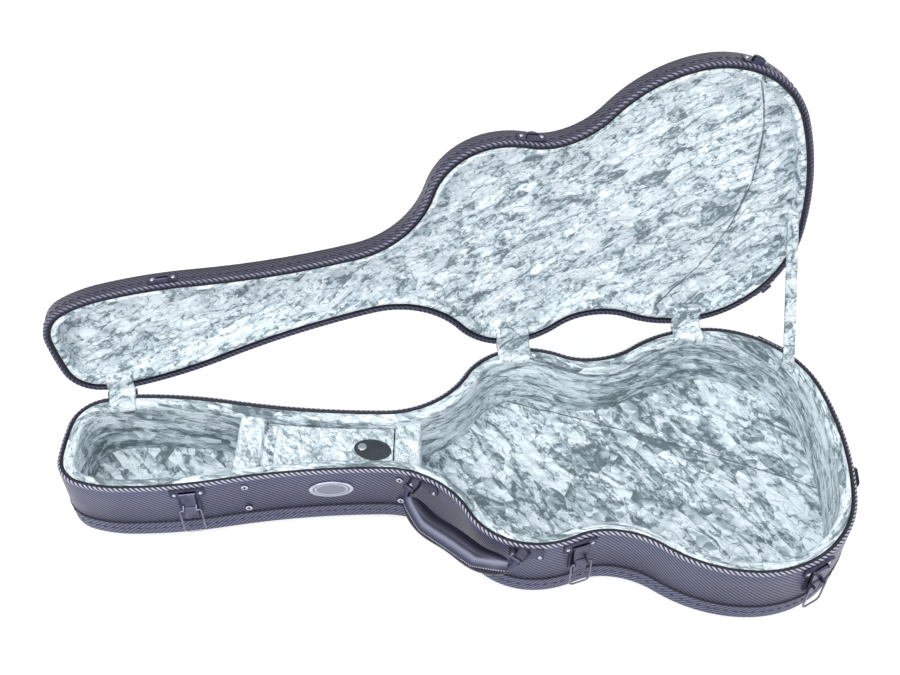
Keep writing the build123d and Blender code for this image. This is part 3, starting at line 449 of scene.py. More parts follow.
# the weave: raised strands a pitch apart, each cut into bricks by the strands that
# cross it, and shifted against the one beside it
brick_length, brick_shift = 0.0031, 0.37
twill, twill_in, twill_out = effect_group(
    "twill_weave",
    [("Vector", "v", None), ("Pitch", "f", 0.0072), ("Slant", "f", -1.2)],
    [("Thread", "f"), ("Height", "f"), ("Tint", "f")],
)
walked_along, walked_round, _ = lengths_of(twill, twill_in.outputs["Vector"])
strand = (walked_along + walked_round * twill_in.outputs["Slant"]) / twill_in.outputs["Pitch"]
ridge = 1.0 - (abs(calc(twill, "FRACT", strand) - 0.5) * 2.0) ** 2.6
crossed = (walked_round * 1.2 + walked_along) / brick_length
brick = calc(twill, "FRACT", crossed + calc(twill, "FLOOR", strand) * brick_shift)
crossing = 1.0 - abs(brick * 2.0 - 1.0) ** 6.0
feed(twill, calc(twill, "SMOOTH_MIN", ridge, 1.0, 0.1), twill_out.inputs["Thread"])
feed(twill, ridge * 0.75 + crossing * 0.25, twill_out.inputs["Height"])
feed(twill, crossing, twill_out.inputs["Tint"])


def woven_vinyl(name, slant, shades, rim=None, rim_highlight=(0.42, 0.43, 0.54), painted_shade_from=None, board=False):
    """Satin vinyl with raised slanting threads; the grooves between them are dark.
    Where the length walked round the piece lies in rim, the vinyl is drawn tight over
    the edge, and its threads get a painted highlight as bright dashes; from the length where the gap begins
    it is painted near black, as painted shade in the gap.
    On a board, the weave follows the board's own length and breadth."""
    made, tree, shader = new_finish(name, specular_ior_level=0.35, coat_weight=0.06, coat_roughness=0.3)
    place = object_place(tree) if board else walk_map(tree)
    weave = add_effect(tree, twill, place, Slant=slant)
    thread, height, tint = (Value(tree, socket) for socket in weave.outputs)
    drift = noise_of(tree, place, 9.0, 3.0)
    shade = thread * (0.84 + tint * 0.16) + (drift - 0.5) * 0.35
    pale, mid, deep = shades
    skin = ramp_of(tree, shade, (0.25, deep), (0.62, mid), (0.98, pale))
    if rim is not None:
        walked = lengths_of(tree, place)[1]
        near_rim = 1.0 - abs(walked - sum(rim) / 2) / ((rim[1] - rim[0]) / 2)
        # painted highlight: the slanting threads on the rim are drawn as bright dashes
        painted_rim_highlight = ramp_of(tree, thread**3.0, (0.25, (0.012, 0.012, 0.024)), (0.85, rim_highlight))
        skin = mix_of(tree, near_rim > 0.0, skin, painted_rim_highlight)
        # painted shade: near black from the length where the gap between wall and lining begins
        skin = mix_of(tree, walked > painted_shade_from, skin, (0.012, 0.012, 0.022))
    feed(tree, skin, shader.inputs["Base Color"])
    feed(tree, 0.6 - thread * 0.28, shader.inputs["Roughness"])
    bump_of(tree, height, 0.7, 0.0007, shader)
    return made


vinyl_shades = ((0.135, 0.145, 0.25), (0.055, 0.059, 0.108), (0.004, 0.004, 0.011))
wall_vinyl = woven_vinyl("wall_vinyl", -1.2, vinyl_shades, rim=(0.0697, 0.0757), painted_shade_from=0.0757)
rim_height, wall_foot, wall_thick = 0.114, 0.0404, 0.007
base_wall_skin = carry(
    "base_wall_skin",
    rounded(
        [(0.0, wall_foot), (0.0, rim_height), (wall_thick, rim_height), (wall_thick, wall_foot)],
        (0.0026, 0.0022),
        6,
    ),
)
base_wall_skin.data.materials.append(wall_vinyl)
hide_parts("base_wall")
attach(base_wall_skin, "base")

# Bottom band and bottom board: the same vinyl in one piece, drawn in under the
# arched bottom, with a row of stitches along the band's middle.
band_top, band_middle, arch = 0.037, 0.0245, 0.012
base_band_skin = carry(
    "base_band_skin",
    rounded([(wall_thick, band_top), (0.0, band_top), (0.0, arch), (0.0, arch - 0.0001)], (0.0012, 0.0)),
)
base_band_skin.data.materials.append(wall_vinyl)
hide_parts("base_bottom_band")
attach(base_band_skin, "base")
board_vinyl = woven_vinyl("board_vinyl", 1.0, vinyl_shades, board=True)


def dress(node, made):
    """Gives a finished material to a piece that keeps its shape."""
    piece = frame["nodes"][node]
    for place in piece.material_slots:
        place.material = made
    if not piece.material_slots:
        piece.data.materials.append(made)


dress("base_bottom", board_vinyl)


# Stitches: thick bonded thread that shows as a row of long dashes, each one
# dipping into the vinyl at both ends.
stitch_length, stitch_gap, stitch_thick, stitch_out = 0.0085, 0.0035, 0.0007, 0.0001
rings, sides = 6, 6
stitch_thread, thread_tree, thread_shader = new_finish("bonded_thread", 0.55, sheen_weight=0.2)
thread_noise = noise_of(thread_tree, object_place(thread_tree), 900.0)
thread_colour = ramp_of(thread_tree, thread_noise, (0.3, (0.006, 0.006, 0.013)), (0.75, (0.026, 0.026, 0.05)))
feed(thread_tree, thread_colour, thread_shader.inputs["Base Color"])
bump_of(thread_tree, thread_noise, 0.4, 0.0003, thread_shader)


def stitch_row(name, height, shift=None):
    """Row of stitches along the outline. Each is a slim tube whose radius and height
    over the vinyl follow the root of a half sine from end to end."""
    points, normals, walked = walk_outline(0.001)
    count = int(walked[-1] / (stitch_length + stitch_gap))
    share = np.linspace(0.0, 1.0, rings)
    spots = (np.arange(count) * walked[-1] / count)[:, None] + share * stitch_length
    where = np.interp(spots, walked, np.arange(len(walked))) % len(points)
    low = where.astype(int) % len(points)
    high = (low + 1) % len(points)
    part = (where % 1)[..., None]
    place = points[low] * (1 - part) + points[high] * part
    out = normals[low] * (1 - part) + normals[high] * part
    lift = (np.sin(np.pi * share) ** 0.5)[:, None]
    turn = np.linspace(0, 2 * np.pi, sides, endpoint=False)
    radius = stitch_thick * (0.35 + 0.65 * lift)
    off = radius * np.cos(turn) + stitch_out + (lift * 0.5 - 0.4) * stitch_thick
    up = np.broadcast_to((height + radius * np.sin(turn) * 1.5)[..., None], (count, rings, sides, 1))
    places = np.concatenate((place[:, :, None] + out[:, :, None] * off[..., None], up), 3)
    if shift is not None:
        places = shift(places)
    ring = np.arange(sides)
    beside = (ring + 1) % sides
    tube = [np.stack((ring, beside, beside + sides, ring + sides), 1) + s * sides for s in range(rings - 1)]
    each = rings * sides
    faces = (np.concatenate(tube) + np.arange(count)[:, None, None] * each).reshape(-1, 4)
    caps = [list(range(start, start + sides)) for start in range(0, count * each, each)]
    caps += [list(range(end - 1, end - sides - 1, -1)) for end in range(each, (count + 1) * each, each)]
    mesh = bpy.data.meshes.new(name)
    mesh.from_pydata(places.reshape(-1, 3), [], faces.tolist() + caps)
    mesh.shade_smooth()
    row = bpy.data.objects.new(name, mesh)
    row.data.materials.append(stitch_thread)
    bpy.context.scene.collection.objects.link(row)
    return row


band_stitches = stitch_row("band_stitches", band_middle)
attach(band_stitches, "base")

# Piping and rim trim: a dark welt sewn between the wall and the band, and a black
# edge strip between the wall and the lining, which is painted shade standing for the shadow in that gap.
welt_and_gap_shade, welt_tree, welt_shader = new_finish("welt_and_gap_shade_vinyl", specular_ior_level=0.3)
welt_place = object_place(welt_tree)
welt_drift = noise_of(welt_tree, welt_place, 14.0)
welt_colour = ramp_of(welt_tree, welt_drift, (0.3, (0.004, 0.004, 0.010)), (0.7, (0.010, 0.010, 0.020)))
feed(welt_tree, welt_colour, welt_shader.inputs["Base Color"])
bump_of(welt_tree, noise_of(welt_tree, welt_place, 420.0, 3.0, 0.6), 0.3, 0.0003, welt_shader)
# the near-black welt on both edge trims is painted shade for the gap between wall and lining; on the piping
# it is the welt's own colour
for node in ("base_piping", "base_edge_trim", "lid_edge_trim", "tail_bumper"):
    dress(node, welt_and_gap_shade)


# Velvet lining: crushed pile glued over foam, on the walls, the floor and the lid.
# Its creases and flattened patches lie every way, and the glue pulls it tight at
# the edges. Much of its shading is painted light and shade in the colour, besides bumps.
hash_factors = np.array((73856093, 19349663, 83492791), np.uint64)


def lattice_noise(places, size, seed):
    """Noise from 0 to 1 with flat facets: random values on a cubic lattice, blended
    straight between its eight corners."""
    spot = places / size + seed * 7.31
    cell = np.floor(spot).astype(np.int64)
    part = spot - cell
    total = np.zeros(places.shape[:-1])
    for corner in np.ndindex(2, 2, 2):
        corner = np.array(corner)
        mixed = np.bitwise_xor.reduce((cell + corner).astype(np.uint64) * hash_factors, axis=-1)
        mixed = (mixed ^ (mixed >> np.uint64(13))) * np.uint64(1274126177 + seed)
        value = ((mixed >> np.uint64(9)) % np.uint64(4096)).astype(float) / 4095.0
        total += value * np.where(corner == 1, part, 1 - part).prod(-1)
    return total


def creased(places, size, seed):
    """Crumpled height from 0 to 1: sharp ridges where warped noise passes its middle,
    in three sizes."""
    warp = np.stack([lattice_noise(places, size * 1.9, seed + k) for k in (1, 2, 3)], -1) - 0.5
    bent = places + warp * size * 0.8
    height = np.zeros(places.shape[:-1])
    for turn, (share, weight) in enumerate(((1.0, 0.55), (0.5, 0.3), (0.26, 0.15))):
        fold = 1 - np.abs(2 * lattice_noise(bent, size * share, seed + 11 * turn + 5) - 1)
        height += weight * fold**2.2
    return height


def grid_normals(places):
    """Outward way at each place of a closed grid, from its neighbours on both sides."""
    along = np.roll(places, -1, 0) - np.roll(places, 1, 0)
    beside = np.roll(places, -1, 1) - np.roll(places, 1, 1)
    way = np.cross(beside, along)
    return way / np.maximum(np.linalg.norm(way, axis=-1, keepdims=True), 1e-12)


def crumple(places, amount, size, seed, mask):
    """Moves each place along its outward way by the crumpled height, where mask is 1."""
    height = (creased(places, size, seed) - 0.35) * mask
    return places + grid_normals(places) * (height * amount)[..., None]


crushed, crushed_in, crushed_out = effect_group(
    "crushed_pile",
    [("Vector", "v", None), ("Size", "f", 26.0)],
    [("Shade", "f"), ("Height", "f")],
)


def vector_calc(tree, operation, *values):
    """One Vector Math node; a value is a vector, a number for all three, or a socket."""
    node = tree.nodes.new("ShaderNodeVectorMath")
    node.operation = operation
    for socket, value in zip(node.inputs, values):
        feed(tree, (value,) * 3 if isinstance(value, float) else value, socket)
    if operation in ("DOT_PRODUCT", "DISTANCE"):
        return Value(tree, node.outputs["Value"])
    return node.outputs["Vector"]


scaled_place = vector_calc(crushed, "MULTIPLY", crushed_in.outputs["Vector"], crushed_in.outputs["Size"])
pull = noise_of(crushed, scaled_place, 0.6).socket.node.outputs["Color"]
pulled_off = vector_calc(crushed, "MULTIPLY", vector_calc(crushed, "SUBTRACT", pull, 0.5), 0.2)
bent_place = vector_calc(crushed, "ADD", scaled_place, pulled_off)


def pressed_facets(size, turn, stretch):
    """Flat facets of pressed pile. Each has a random tone and a random lean, which is
    painted as light and shade, paler from one side of the facet to the other. Gives
    the tone, the lean, a random pick and the turned place."""
    turned = crushed.nodes.new("ShaderNodeMapping")
    turned.vector_type = "TEXTURE"
    turned.inputs["Rotation"].default_value = turn
    turned.inputs["Scale"].default_value = tuple(size * share for share in stretch)
    feed(crushed, bent_place, turned.inputs["Vector"])
    cells = crushed.nodes.new("ShaderNodeTexVoronoi")
    cells.inputs["Scale"].default_value = 1.0
    feed(crushed, turned.outputs[0], cells.inputs["Vector"])
    off_centre = vector_calc(crushed, "SUBTRACT", turned.outputs[0], cells.outputs["Position"])
    lean_way = vector_calc(crushed, "SUBTRACT", cells.outputs["Color"], 0.5)
    lean = vector_calc(crushed, "DOT_PRODUCT", off_centre, lean_way)
    parts = crushed.nodes.new("ShaderNodeSeparateColor")
    feed(crushed, cells.outputs["Color"], parts.inputs[0])
    tone, pick = Value(crushed, parts.outputs[0]) - 0.5, Value(crushed, parts.outputs[2])
    return tone, lean, pick, turned.outputs[0]


wide_tone, wide_lean = pressed_facets(1.0, (0.3, 0.2, 0.5), (2.2, 1.0, 1.2))[:2]
mid_tone, mid_lean, mid_pick, mid_place = pressed_facets(0.42, (0.9, -0.4, -0.7), (2.6, 1.0, 1.1))
fine_tone, fine_lean = pressed_facets(0.17, (-0.5, 0.7, 1.2), (2.8, 1.0, 1.0))[:2]
# a fold runs across the middle of about half of the facets; it is painted shade, a dark line, as well as a
# groove in the height
folded = calc(crushed, "MAXIMUM", 1.0 - abs(mid_lean) * 16.0, 0.0) * (mid_pick > 0.45)
wisps = noise_of(crushed, mid_place, 1.1, 4.0, 0.6)


def fine_line(level, power):
    """Thin wandering line where the noise passes a level: a high power of its nearness."""
    return calc(crushed, "MAXIMUM", 1.0 - abs(wisps - level) * 2.0, 0.0) ** power


# painted shade along one thin wandering line, and a painted highlight along the other
painted_crease_shade, painted_crease_highlight = fine_line(0.47, 50.0), fine_line(0.55, 50.0)
# shade: the facets' random tones, plus painted light and shade from the lean of each facet, the folds and the
# thin lines
tones = wide_tone * 0.14 + mid_tone * 0.2 + fine_tone * 0.16
painted_lean_light = wide_lean * 0.34 + mid_lean * 0.62 + fine_lean * 0.5
painted_crease_light = folded * -0.3 + painted_crease_shade * -0.46 + painted_crease_highlight * 0.42
feed(crushed, 0.53 + tones + painted_lean_light + painted_crease_light, crushed_out.inputs["Shade"])
raised = wide_lean * 1.2 + mid_lean * 0.9 + fine_lean * 0.4
sunken = folded * -0.25 + painted_crease_shade * -0.2 + painted_crease_highlight * 0.2
feed(crushed, 0.5 + raised + sunken, crushed_out.inputs["Height"])


def crushed_velvet(name, shades, size, turn, stretch, chart=False, seam=None):
    """Crushed velvet with painted sheen and shade: its colour is painted as if pile that lies flat shines and
    pile that stands up is darker.
    The facets are stretched along a turned line, as the cloth was pulled, in the
    piece's own map if chart is true. A seam is the part of a ring, given by its
    middle and radius, that lies nearer the tail than a place along the case."""
    made, tree, shader = new_finish(name, sheen_weight=0.25, sheen_roughness=0.4, specular_ior_level=0.3)
    shader.inputs["Sheen Tint"].default_value = (0.9, 0.96, 1.0, 1.0)
    place = object_place(tree)
    pulled = tree.nodes.new("ShaderNodeMapping")
    pulled.vector_type = "TEXTURE"
    pulled.inputs["Rotation"].default_value = (0.0, 0.0, turn)
    pulled.inputs["Scale"].default_value = (stretch, 1.0, 1.0)
    feed(tree, walk_map(tree) if chart else place, pulled.inputs["Vector"])
    pile = add_effect(tree, crushed, pulled.outputs[0], Size=size)
    shade, height = (Value(tree, socket) for socket in pile.outputs)
    feed(tree, 0.8 - shade * 0.35, shader.inputs["Roughness"])
    if seam is not None:
        middle, radius, seam_start = seam
        away = abs(vector_calc(tree, "DISTANCE", place, middle) - radius)
        seam_shade_and_sink = calc(tree, "MAXIMUM", 1.0 - away * 650.0, 0.0) * (lengths_of(tree, place)[0] > seam_start)
        # painted shade: the seam line is darkened in colour, and its height sunk for the bump
        shade = shade - seam_shade_and_sink * 0.35
        height = height - seam_shade_and_sink * 0.8
    feed(tree, ramp_of(tree, shade, *zip((0.12, 0.36, 0.62), shades)), shader.inputs["Base Color"])
    fine = bump_of(tree, noise_of(tree, place, 700.0), 0.12, 0.0002, shader)
    bump_of(tree, height, 0.9, 0.006, shader, fine)
    return made


# One velvet in lit and shaded copies: the walls and floor deep in the case get a darker copy, as painted
# shade, and the raised pads a paler one, as painted light.
shaded_velvet_shades = ((0.14, 0.185, 0.205), (0.37, 0.455, 0.495), (0.82, 0.91, 0.95))
lit_pad_shades = ((0.31, 0.385, 0.42), (0.64, 0.74, 0.79), (0.86, 0.95, 0.99))
floor_seam = ((-0.7373, -2.7318, 0.0135), 3.0, -0.2)
base_velvet = crushed_velvet("base_velvet", lit_pad_shades, 30.0, turn=-0.6, stretch=1.5)
wall_velvet = crushed_velvet("wall_velvet", shaded_velvet_shades, 34.0, turn=0.22, stretch=3.6, chart=True)
floor_velvet = crushed_velvet("floor_velvet", shaded_velvet_shades, 21.0, turn=-0.65, stretch=1.7, seam=floor_seam)
lining_in, lining_out, lining_over, lining_top = 0.0212, 0.0102, 0.0082, 0.1136
lip_under = lining_top - 0.0011
inner_face, face_blend = 0.0125, 0.004
board_edge = 0.0145
fine_outline = walk_outline(0.0032)


def soft_wall(name, profile, amount, size, seed, finish, shift=None):
    """Padded wall round the case, crumpled on the side that faces the inside."""
    places, walked, round_walk = carried(profile, fine_outline)
    inside = np.clip((np.array(profile)[:, 0] - inner_face) / face_blend, 0, 1)
    places = crumple(places, amount, size, seed, inside[None])
    if shift is not None:
        places = shift(places)
    piece = grid_piece(name, places, walked, round_walk, closed_u=True, closed_v=True)
    piece.data.materials.append(finish)
    return piece


def dense(profile, step):
    """Profile with points no further apart than a step."""
    path = []
    for start, stop in zip(profile, profile[1:]):
        start, stop = np.array(start), np.array(stop)
        count = max(1, int(np.ceil(np.hypot(*(stop - start)) / step)))
        path += [start + (stop - start) * part / count for part in range(count)]
    return path + [np.array(profile[-1])]


wall_lining_profile = rounded(
    [
        (lining_out, board_edge),
        (lining_out, lip_under),
        (lining_over, lip_under),
        (lining_over, lining_top),
        (lining_in, lining_top),
        (lining_in, board_edge),
    ],
    (0.0, 0.0, 0.001, 0.0068),
    7,
)
wall_lining_profile = dense(wall_lining_profile, 0.0034)
wall_lining = soft_wall(
    "wall_lining", wall_lining_profile, amount=0.0022, size=0.021, seed=3, finish=wall_velvet
)
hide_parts("base_lining_wall")
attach(wall_lining, "base")

half_points = outline[0][: len(outline[0]) // 2 + 1]
half_normals = outline[1][: len(outline[0]) // 2 + 1]


def steps_walked(places, closed=False):
    """Length walked from the first place to each, and back to the first if closed."""
    following = np.roll(places, -1, 0) if closed else places[1:]
    steps = np.linalg.norm(following - places[: len(following)], axis=1)
    return np.concatenate(([0.0], np.cumsum(steps)))


def spread(inset, columns, top, bottom):
    """Slab across the case: each row runs from wall to wall over the top and back
    under it. Top and bottom are heights that may vary over the slab."""
    edge = half_points - half_normals * inset
    share = np.linspace(1, -1, columns)
    x = np.broadcast_to(edge[:, :1], (len(edge), columns))
    y = edge[:, 1:] * share[None]
    upper = np.stack((x, y, np.broadcast_to(top(share), x.shape)), 2)
    lower = np.stack((x, y, np.broadcast_to(bottom(share), x.shape)), 2)[:, ::-1]
    return np.concatenate((upper, lower), 1)


def across_map(places):
    """Lengths walked along the middle row and round the widest column of a slab."""
    along = steps_walked(places[:, places.shape[1] // 4])
    return np.append(along, 0.0), steps_walked(places[places.shape[0] * 3 // 4], closed=True)


def dish(share, rise, power=6.0):
    """Rise of padding towards the walls, from 0 in the middle to its most at the edge."""
    return rise * np.abs(share) ** power


floor_columns, floor_top, floor_foot = 96, 0.0128, 0.0062
floor_places = spread(
    0.0205,
    floor_columns,
    lambda share: floor_top + dish(share, 0.0035),
    lambda share: floor_foot,
)
upper_side = (np.arange(2 * floor_columns) < floor_columns).astype(float)
floor_places = crumple(floor_places, amount=0.0042, size=0.034, seed=17, mask=upper_side[None])
floor_lining = grid_piece("floor_lining", floor_places, *across_map(floor_places), closed_v=True)
floor_lining.data.materials.append(floor_velvet)
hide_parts("base_lining_floor")
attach(floor_lining, "base")


# Partition and neck block: foam blocks covered with the same velvet. They cross the
# case from wall to wall on both sides of the pocket and hold the neck, and screws
# through the walls hold them.
def sewn(piece):
    """Joins points that lie on each other, where a grid closes in an edge or a pole."""
    bm = bmesh.new()
    bm.from_mesh(piece.data)
    bmesh.ops.remove_doubles(bm, verts=bm.verts, dist=1e-6)
    bm.to_mesh(piece.data)
    bm.free()
    piece.data.shade_smooth()
    return piece


def wall_reach(x, inset):
    """Half of the inside width of the case at each x."""
    edge = half_points - half_normals * inset
    return np.interp(x, edge[:, 0], edge[:, 1])


def pad_across(name, start, stop, low, high, rounding, inset, sag, amount, seed):
    """Pad from wall to wall: a closed profile of length and height carried across the
    case. It sinks towards both walls by a power of its share of the way there."""
    outline_of_pad = [(start, low), (start, high), (stop, high), (stop, low), (start, low)]
    profile = np.array(dense(rounded(outline_of_pad, (rounding, rounding, 0.0012), 7), 0.003))[:-1]
    count = 44
    end_scale = (0.0, 0.6, 0.93)
    share = np.concatenate(([-1.0] * 3, np.linspace(-1, 1, count), [1.0] * 3))
    scale = np.concatenate((end_scale, np.ones(count), end_scale[::-1]))
    middle = np.array(((start + stop) / 2, (low + high) / 2))
    flat = middle + (profile - middle)[None] * scale[:, None, None]
    up = (flat[..., 1] - low) / (high - low)
    height = flat[..., 1] - sag * up * (np.abs(share) ** 4)[:, None]
    places = np.stack((flat[..., 0], share[:, None] * wall_reach(flat[..., 0], inset), height), 2)
    soft = (up > 0.3) * (np.abs(share) < 0.999)[:, None]
    places = crumple(places, amount, 0.02, seed, soft)
    walked, round_walk = steps_walked(places[:, 0]), steps_walked(profile, closed=True)
    pad = sewn(grid_piece(name, places, walked, round_walk, closed_v=True))
    pad.data.materials.append(base_velvet)
    return pad


pad_foot, pad_inset = 0.0133, 0.0214
partition_pad = pad_across(
    "partition_pad",
    start=-0.3064,
    stop=-0.2698,
    low=pad_foot,
    high=0.1088,
    rounding=0.006,
    inset=pad_inset,
    sag=0.0012,
    amount=0.0012,
    seed=53,
)
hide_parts("neck_rest_partition")
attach(partition_pad, "base")
neck_block_pad = pad_across(
    "neck_block_pad",
    start=-0.0842,
    stop=-0.0478,
    low=pad_foot,
    high=0.0990,
    rounding=0.006,
    inset=pad_inset,
    sag=0.0010,
    amount=0.0012,
    seed=59,
)
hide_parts("neck_block")
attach(neck_block_pad, "base")

# Pocket lid: a board padded and covered with velvet. It turns on a strip of the same
# velvet that is glued to the partition and to the top of the lid.
pocket_cover = pad_across(
    "pocket_cover",
    start=-0.2675,
    stop=-0.0861,
    low=0.0912,
    high=0.0988,
    rounding=0.0034,
    inset=0.0236,
    sag=0.0004,
    amount=0.0007,
    seed=61,
)
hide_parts("pocket_lid")
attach(pocket_cover, "pocket_lid")


def cloth_band(name, path, sideways, width, thick, finish, amount=0.0004, seed=71):
    """Flat band of cloth: two faces carried along a path, which meet along both sides
    and at both ends. Its thickness falls off to nothing in the last of its width."""
    path, sideways = np.array(path), np.array(sideways)
    along = np.gradient(path, axis=0)
    up = np.cross(along, sideways)
    up /= np.linalg.norm(up, axis=1, keepdims=True)
    share = np.linspace(-1, 1, max(8, int(width / 0.0022)))
    breadth = np.concatenate((share, share[::-1])) * width / 2
    depth = np.sqrt(1 - np.abs(share) ** 10) * thick / 2
    depth = np.concatenate((depth, -depth[::-1]))
    ends = np.ones(len(path))
    ends[[0, -1]] = 0
    puffed = creased(path[:, None] + breadth[None, :, None] * sideways, 0.014, seed) * amount
    lift = (depth * (1 + puffed / thick * 2)) * ends[:, None]
    places = path[:, None] + breadth[None, :, None] * sideways + lift[..., None] * up[:, None]
    walked = steps_walked(path)
    round_walk = np.concatenate(([0.0], np.cumsum(np.abs(np.roll(breadth, -1) - breadth))))
    piece = sewn(grid_piece(name, places, walked, round_walk, closed_v=True))
    piece.data.materials.append(finish)
    return piece, float(walked[-1])


def bent_path(points, radii, step=0.0018):
    """Path through points with rounded corners, in the plane of two lengths."""
    return np.array(dense(rounded(points, radii, 5), step))


tape_width, tape_thick = 0.078, 0.0006
tape_line = bent_path([(-0.26905, 0.1064), (-0.26905, 0.0998), (-0.2527, 0.0994)], (0.0012,), 0.0012)
tape_path = np.stack((tape_line[:, 0], np.zeros(len(tape_line)), tape_line[:, 1]), 1)
tape_side = (0.0, 1.0, 0.0)
# The strip takes the darker floor velvet, as painted shade along the pocket lid's edge by the partition.
pocket_tape, tape_length = cloth_band(
    "pocket_tape", tape_path, tape_side, tape_width, tape_thick, floor_velvet, amount=0.0002
)
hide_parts("pocket_hinge_tape")
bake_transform(pocket_tape)


# Lid: a shallow wall and an arched board in the same vinyl, lined with the same
# velvet, made shut over the base and swung open about the hinge line.
open_angle = 94.0
lid_joint = next(joint for joint in frame["joints"] if joint["name"] == "lid_hinge")
hinge_place, hinge_way = Vector(lid_joint["pos_m"]), Vector(lid_joint["axis"]).normalized()
open_turn = np.array(Matrix.Rotation(np.radians(open_angle), 3, -hinge_way))


def swing_open(places):
    """Turns shut places about the hinge line to where the open lid holds them."""
    start = np.array(hinge_place)
    return (places - start) @ open_turn + start


lid_rim, lid_band, lid_split = 0.1144, 0.1424, 0.0035
lid_wall_profile = [
    (lid_split, lid_rim),
    (0.0, lid_rim),
    (0.0, lid_band),
    (wall_thick, lid_band),
    (wall_thick, lid_rim),
    (lid_split, lid_rim),
]
lid_wall_skin = carry(
    "lid_wall_skin", rounded(lid_wall_profile, (0.0026, 0.0, 0.0, 0.0022), 6)[:-1], swing_open
)
# The lid wall's vinyl is a darker copy of the base's, as painted shade on a wall that faces away from the
# light; its rim dashes are a dimmer painted highlight.
shaded_lid_vinyl_shades = ((0.055, 0.06, 0.11), (0.02, 0.022, 0.043), (0.002, 0.002, 0.006))
lid_vinyl = woven_vinyl(
    "lid_vinyl",
    -1.2,
    shaded_lid_vinyl_shades,
    rim=(-0.001, 0.0042),
    rim_highlight=(0.20, 0.20, 0.28),
    painted_shade_from=0.0708,
)
lid_wall_skin.data.materials.append(lid_vinyl)
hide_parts("lid_wall")
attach(lid_wall_skin, "lid")
dress("lid_top", board_vinyl)
lid_stitches = stitch_row("lid_stitches", lid_rim + 0.012, swing_open)
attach(lid_stitches, "lid")

# The lid's copy of the velvet is paler than the floor's, as painted light on the lid.
lit_lid_shades = ((0.19, 0.245, 0.275), (0.58, 0.68, 0.73), (0.90, 0.97, 1.0))
lid_seam = ((0.10506, 0.23574, 0.3967), 0.3277, 0.15)
lid_velvet = crushed_velvet("lid_velvet", lit_lid_shades, 25.0, turn=0.9, stretch=1.15, seam=lid_seam)
lid_lining_in, lid_lining_top, lid_lining_foot = 0.0182, 0.1404, lid_rim + 0.0018
lid_lining_profile = dense(
    rounded(
        [
            (lining_out, lid_lining_top),
            (lid_lining_in, lid_lining_top),
            (lid_lining_in, lid_lining_foot),
            (lining_out, lid_lining_foot),
            (lining_out, lid_lining_top - 0.004),
        ],
        (0.0, 0.0042, 0.002),
        6,
    ),
    0.003,
)
lid_lining = soft_wall(
    "lid_lining",
    lid_lining_profile,
    amount=0.0024,
    size=0.019,
    seed=29,
    finish=lid_velvet,
    shift=swing_open,
)
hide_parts("lid_lining_wall")
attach(lid_lining, "lid")
panel_columns, panel_top, panel_under = 110, 0.1504, 0.1452
panel_places = spread(
    0.0165,
    panel_columns,
    lambda share: panel_top - dish(share, 0.006),
    lambda share: panel_under - dish(share, 0.009, 8.0),
)
under_side = (np.arange(2 * panel_columns) >= panel_columns).astype(float)
panel_places = crumple(panel_places, amount=0.0065, size=0.036, seed=41, mask=under_side[None])
panel_map = across_map(panel_places)
lid_panel = grid_piece("lid_panel", swing_open(panel_places), *panel_map, closed_v=True)
lid_panel.data.materials.append(lid_velvet)
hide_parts("lid_lining_panel")
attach(lid_panel, "lid")


# Fittings: pressed steel with bright blue-grey nickel plate, and rivets that are
# polished where hands and cloths rub them.
def plated_steel(name, colour, dull, roughness):
    """Plated metal with fine drawn scratches and duller patches."""
    made, tree, shader = new_finish(name, roughness, 1.0)
    place = object_place(tree)
    patch = noise_of(tree, place, 45.0, 3.0, 0.6)
    scratch = noise_of(tree, place, 520.0, 2.0, 0.5, 0.8)
    feed(tree, ramp_of(tree, patch, (0.3, dull), (0.7, colour)), shader.inputs["Base Color"])
    feed(tree, roughness - 0.08 + scratch * 0.22, shader.inputs["Roughness"])
    bump_of(tree, scratch, 0.08, 0.0002, shader)
    return made


latch_steel = plated_steel("latch_steel", (0.105, 0.11, 0.17), (0.035, 0.037, 0.065), 0.3)
lever_steel = plated_steel("lever_steel", (0.15, 0.155, 0.23), (0.05, 0.052, 0.09), 0.26)
bail_steel = plated_steel("bail_steel", (0.27, 0.27, 0.35), (0.13, 0.13, 0.18), 0.24)
rivet_steel = plated_steel("rivet_steel", (0.62, 0.64, 0.74), (0.42, 0.43, 0.52), 0.22)
for place in ("head", "waist", "tail_front", "tail_rear"):
    dress("latch_plate_" + place, latch_steel)
    dress("keeper_" + place, latch_steel)
    dress("latch_lever_" + place, lever_steel)
    dress("latch_bail_" + place, bail_steel)
for place in ("head", "upper", "lower"):
    dress("hinge_base_leaf_" + place, latch_steel)
    dress("hinge_lid_leaf_" + place, latch_steel)
for node in ("handle_bracket_left", "handle_bracket_right", "handle_core"):
    dress(node, latch_steel)
for place in ("latch", "keeper", "handle_bracket"):
    dress(place + "_rivets", rivet_steel)
for node in ("latch_pins", "hinge_pins", "badge_pins"):
    dress(node, rivet_steel)
for node in ("hinge_rivets_base", "hinge_rivets_lid", "pull_tab_snap"):
    dress(node, rivet_steel)


# Screws of the partition and the neck block: bright domed heads with a cross recess.
# The cross is painted dark as painted shade in the recess, drawn from each head's own middle along and up the
# wall, and past each head's rim the same dark is painted.
def paint_over(made, share, colour):
    """Puts a second colour over a finish's own where share is 1."""
    base = made.node_tree.nodes["Principled BSDF"].inputs["Base Color"]
    feed(made.node_tree, mix_of(made.node_tree, share, base.links[0].from_socket, colour), base)


def off_nearest(value, first, second):
    """How far a value is from the nearer of two places."""
    return calc(value.tree, "MINIMUM", abs(value - first), abs(value - second))


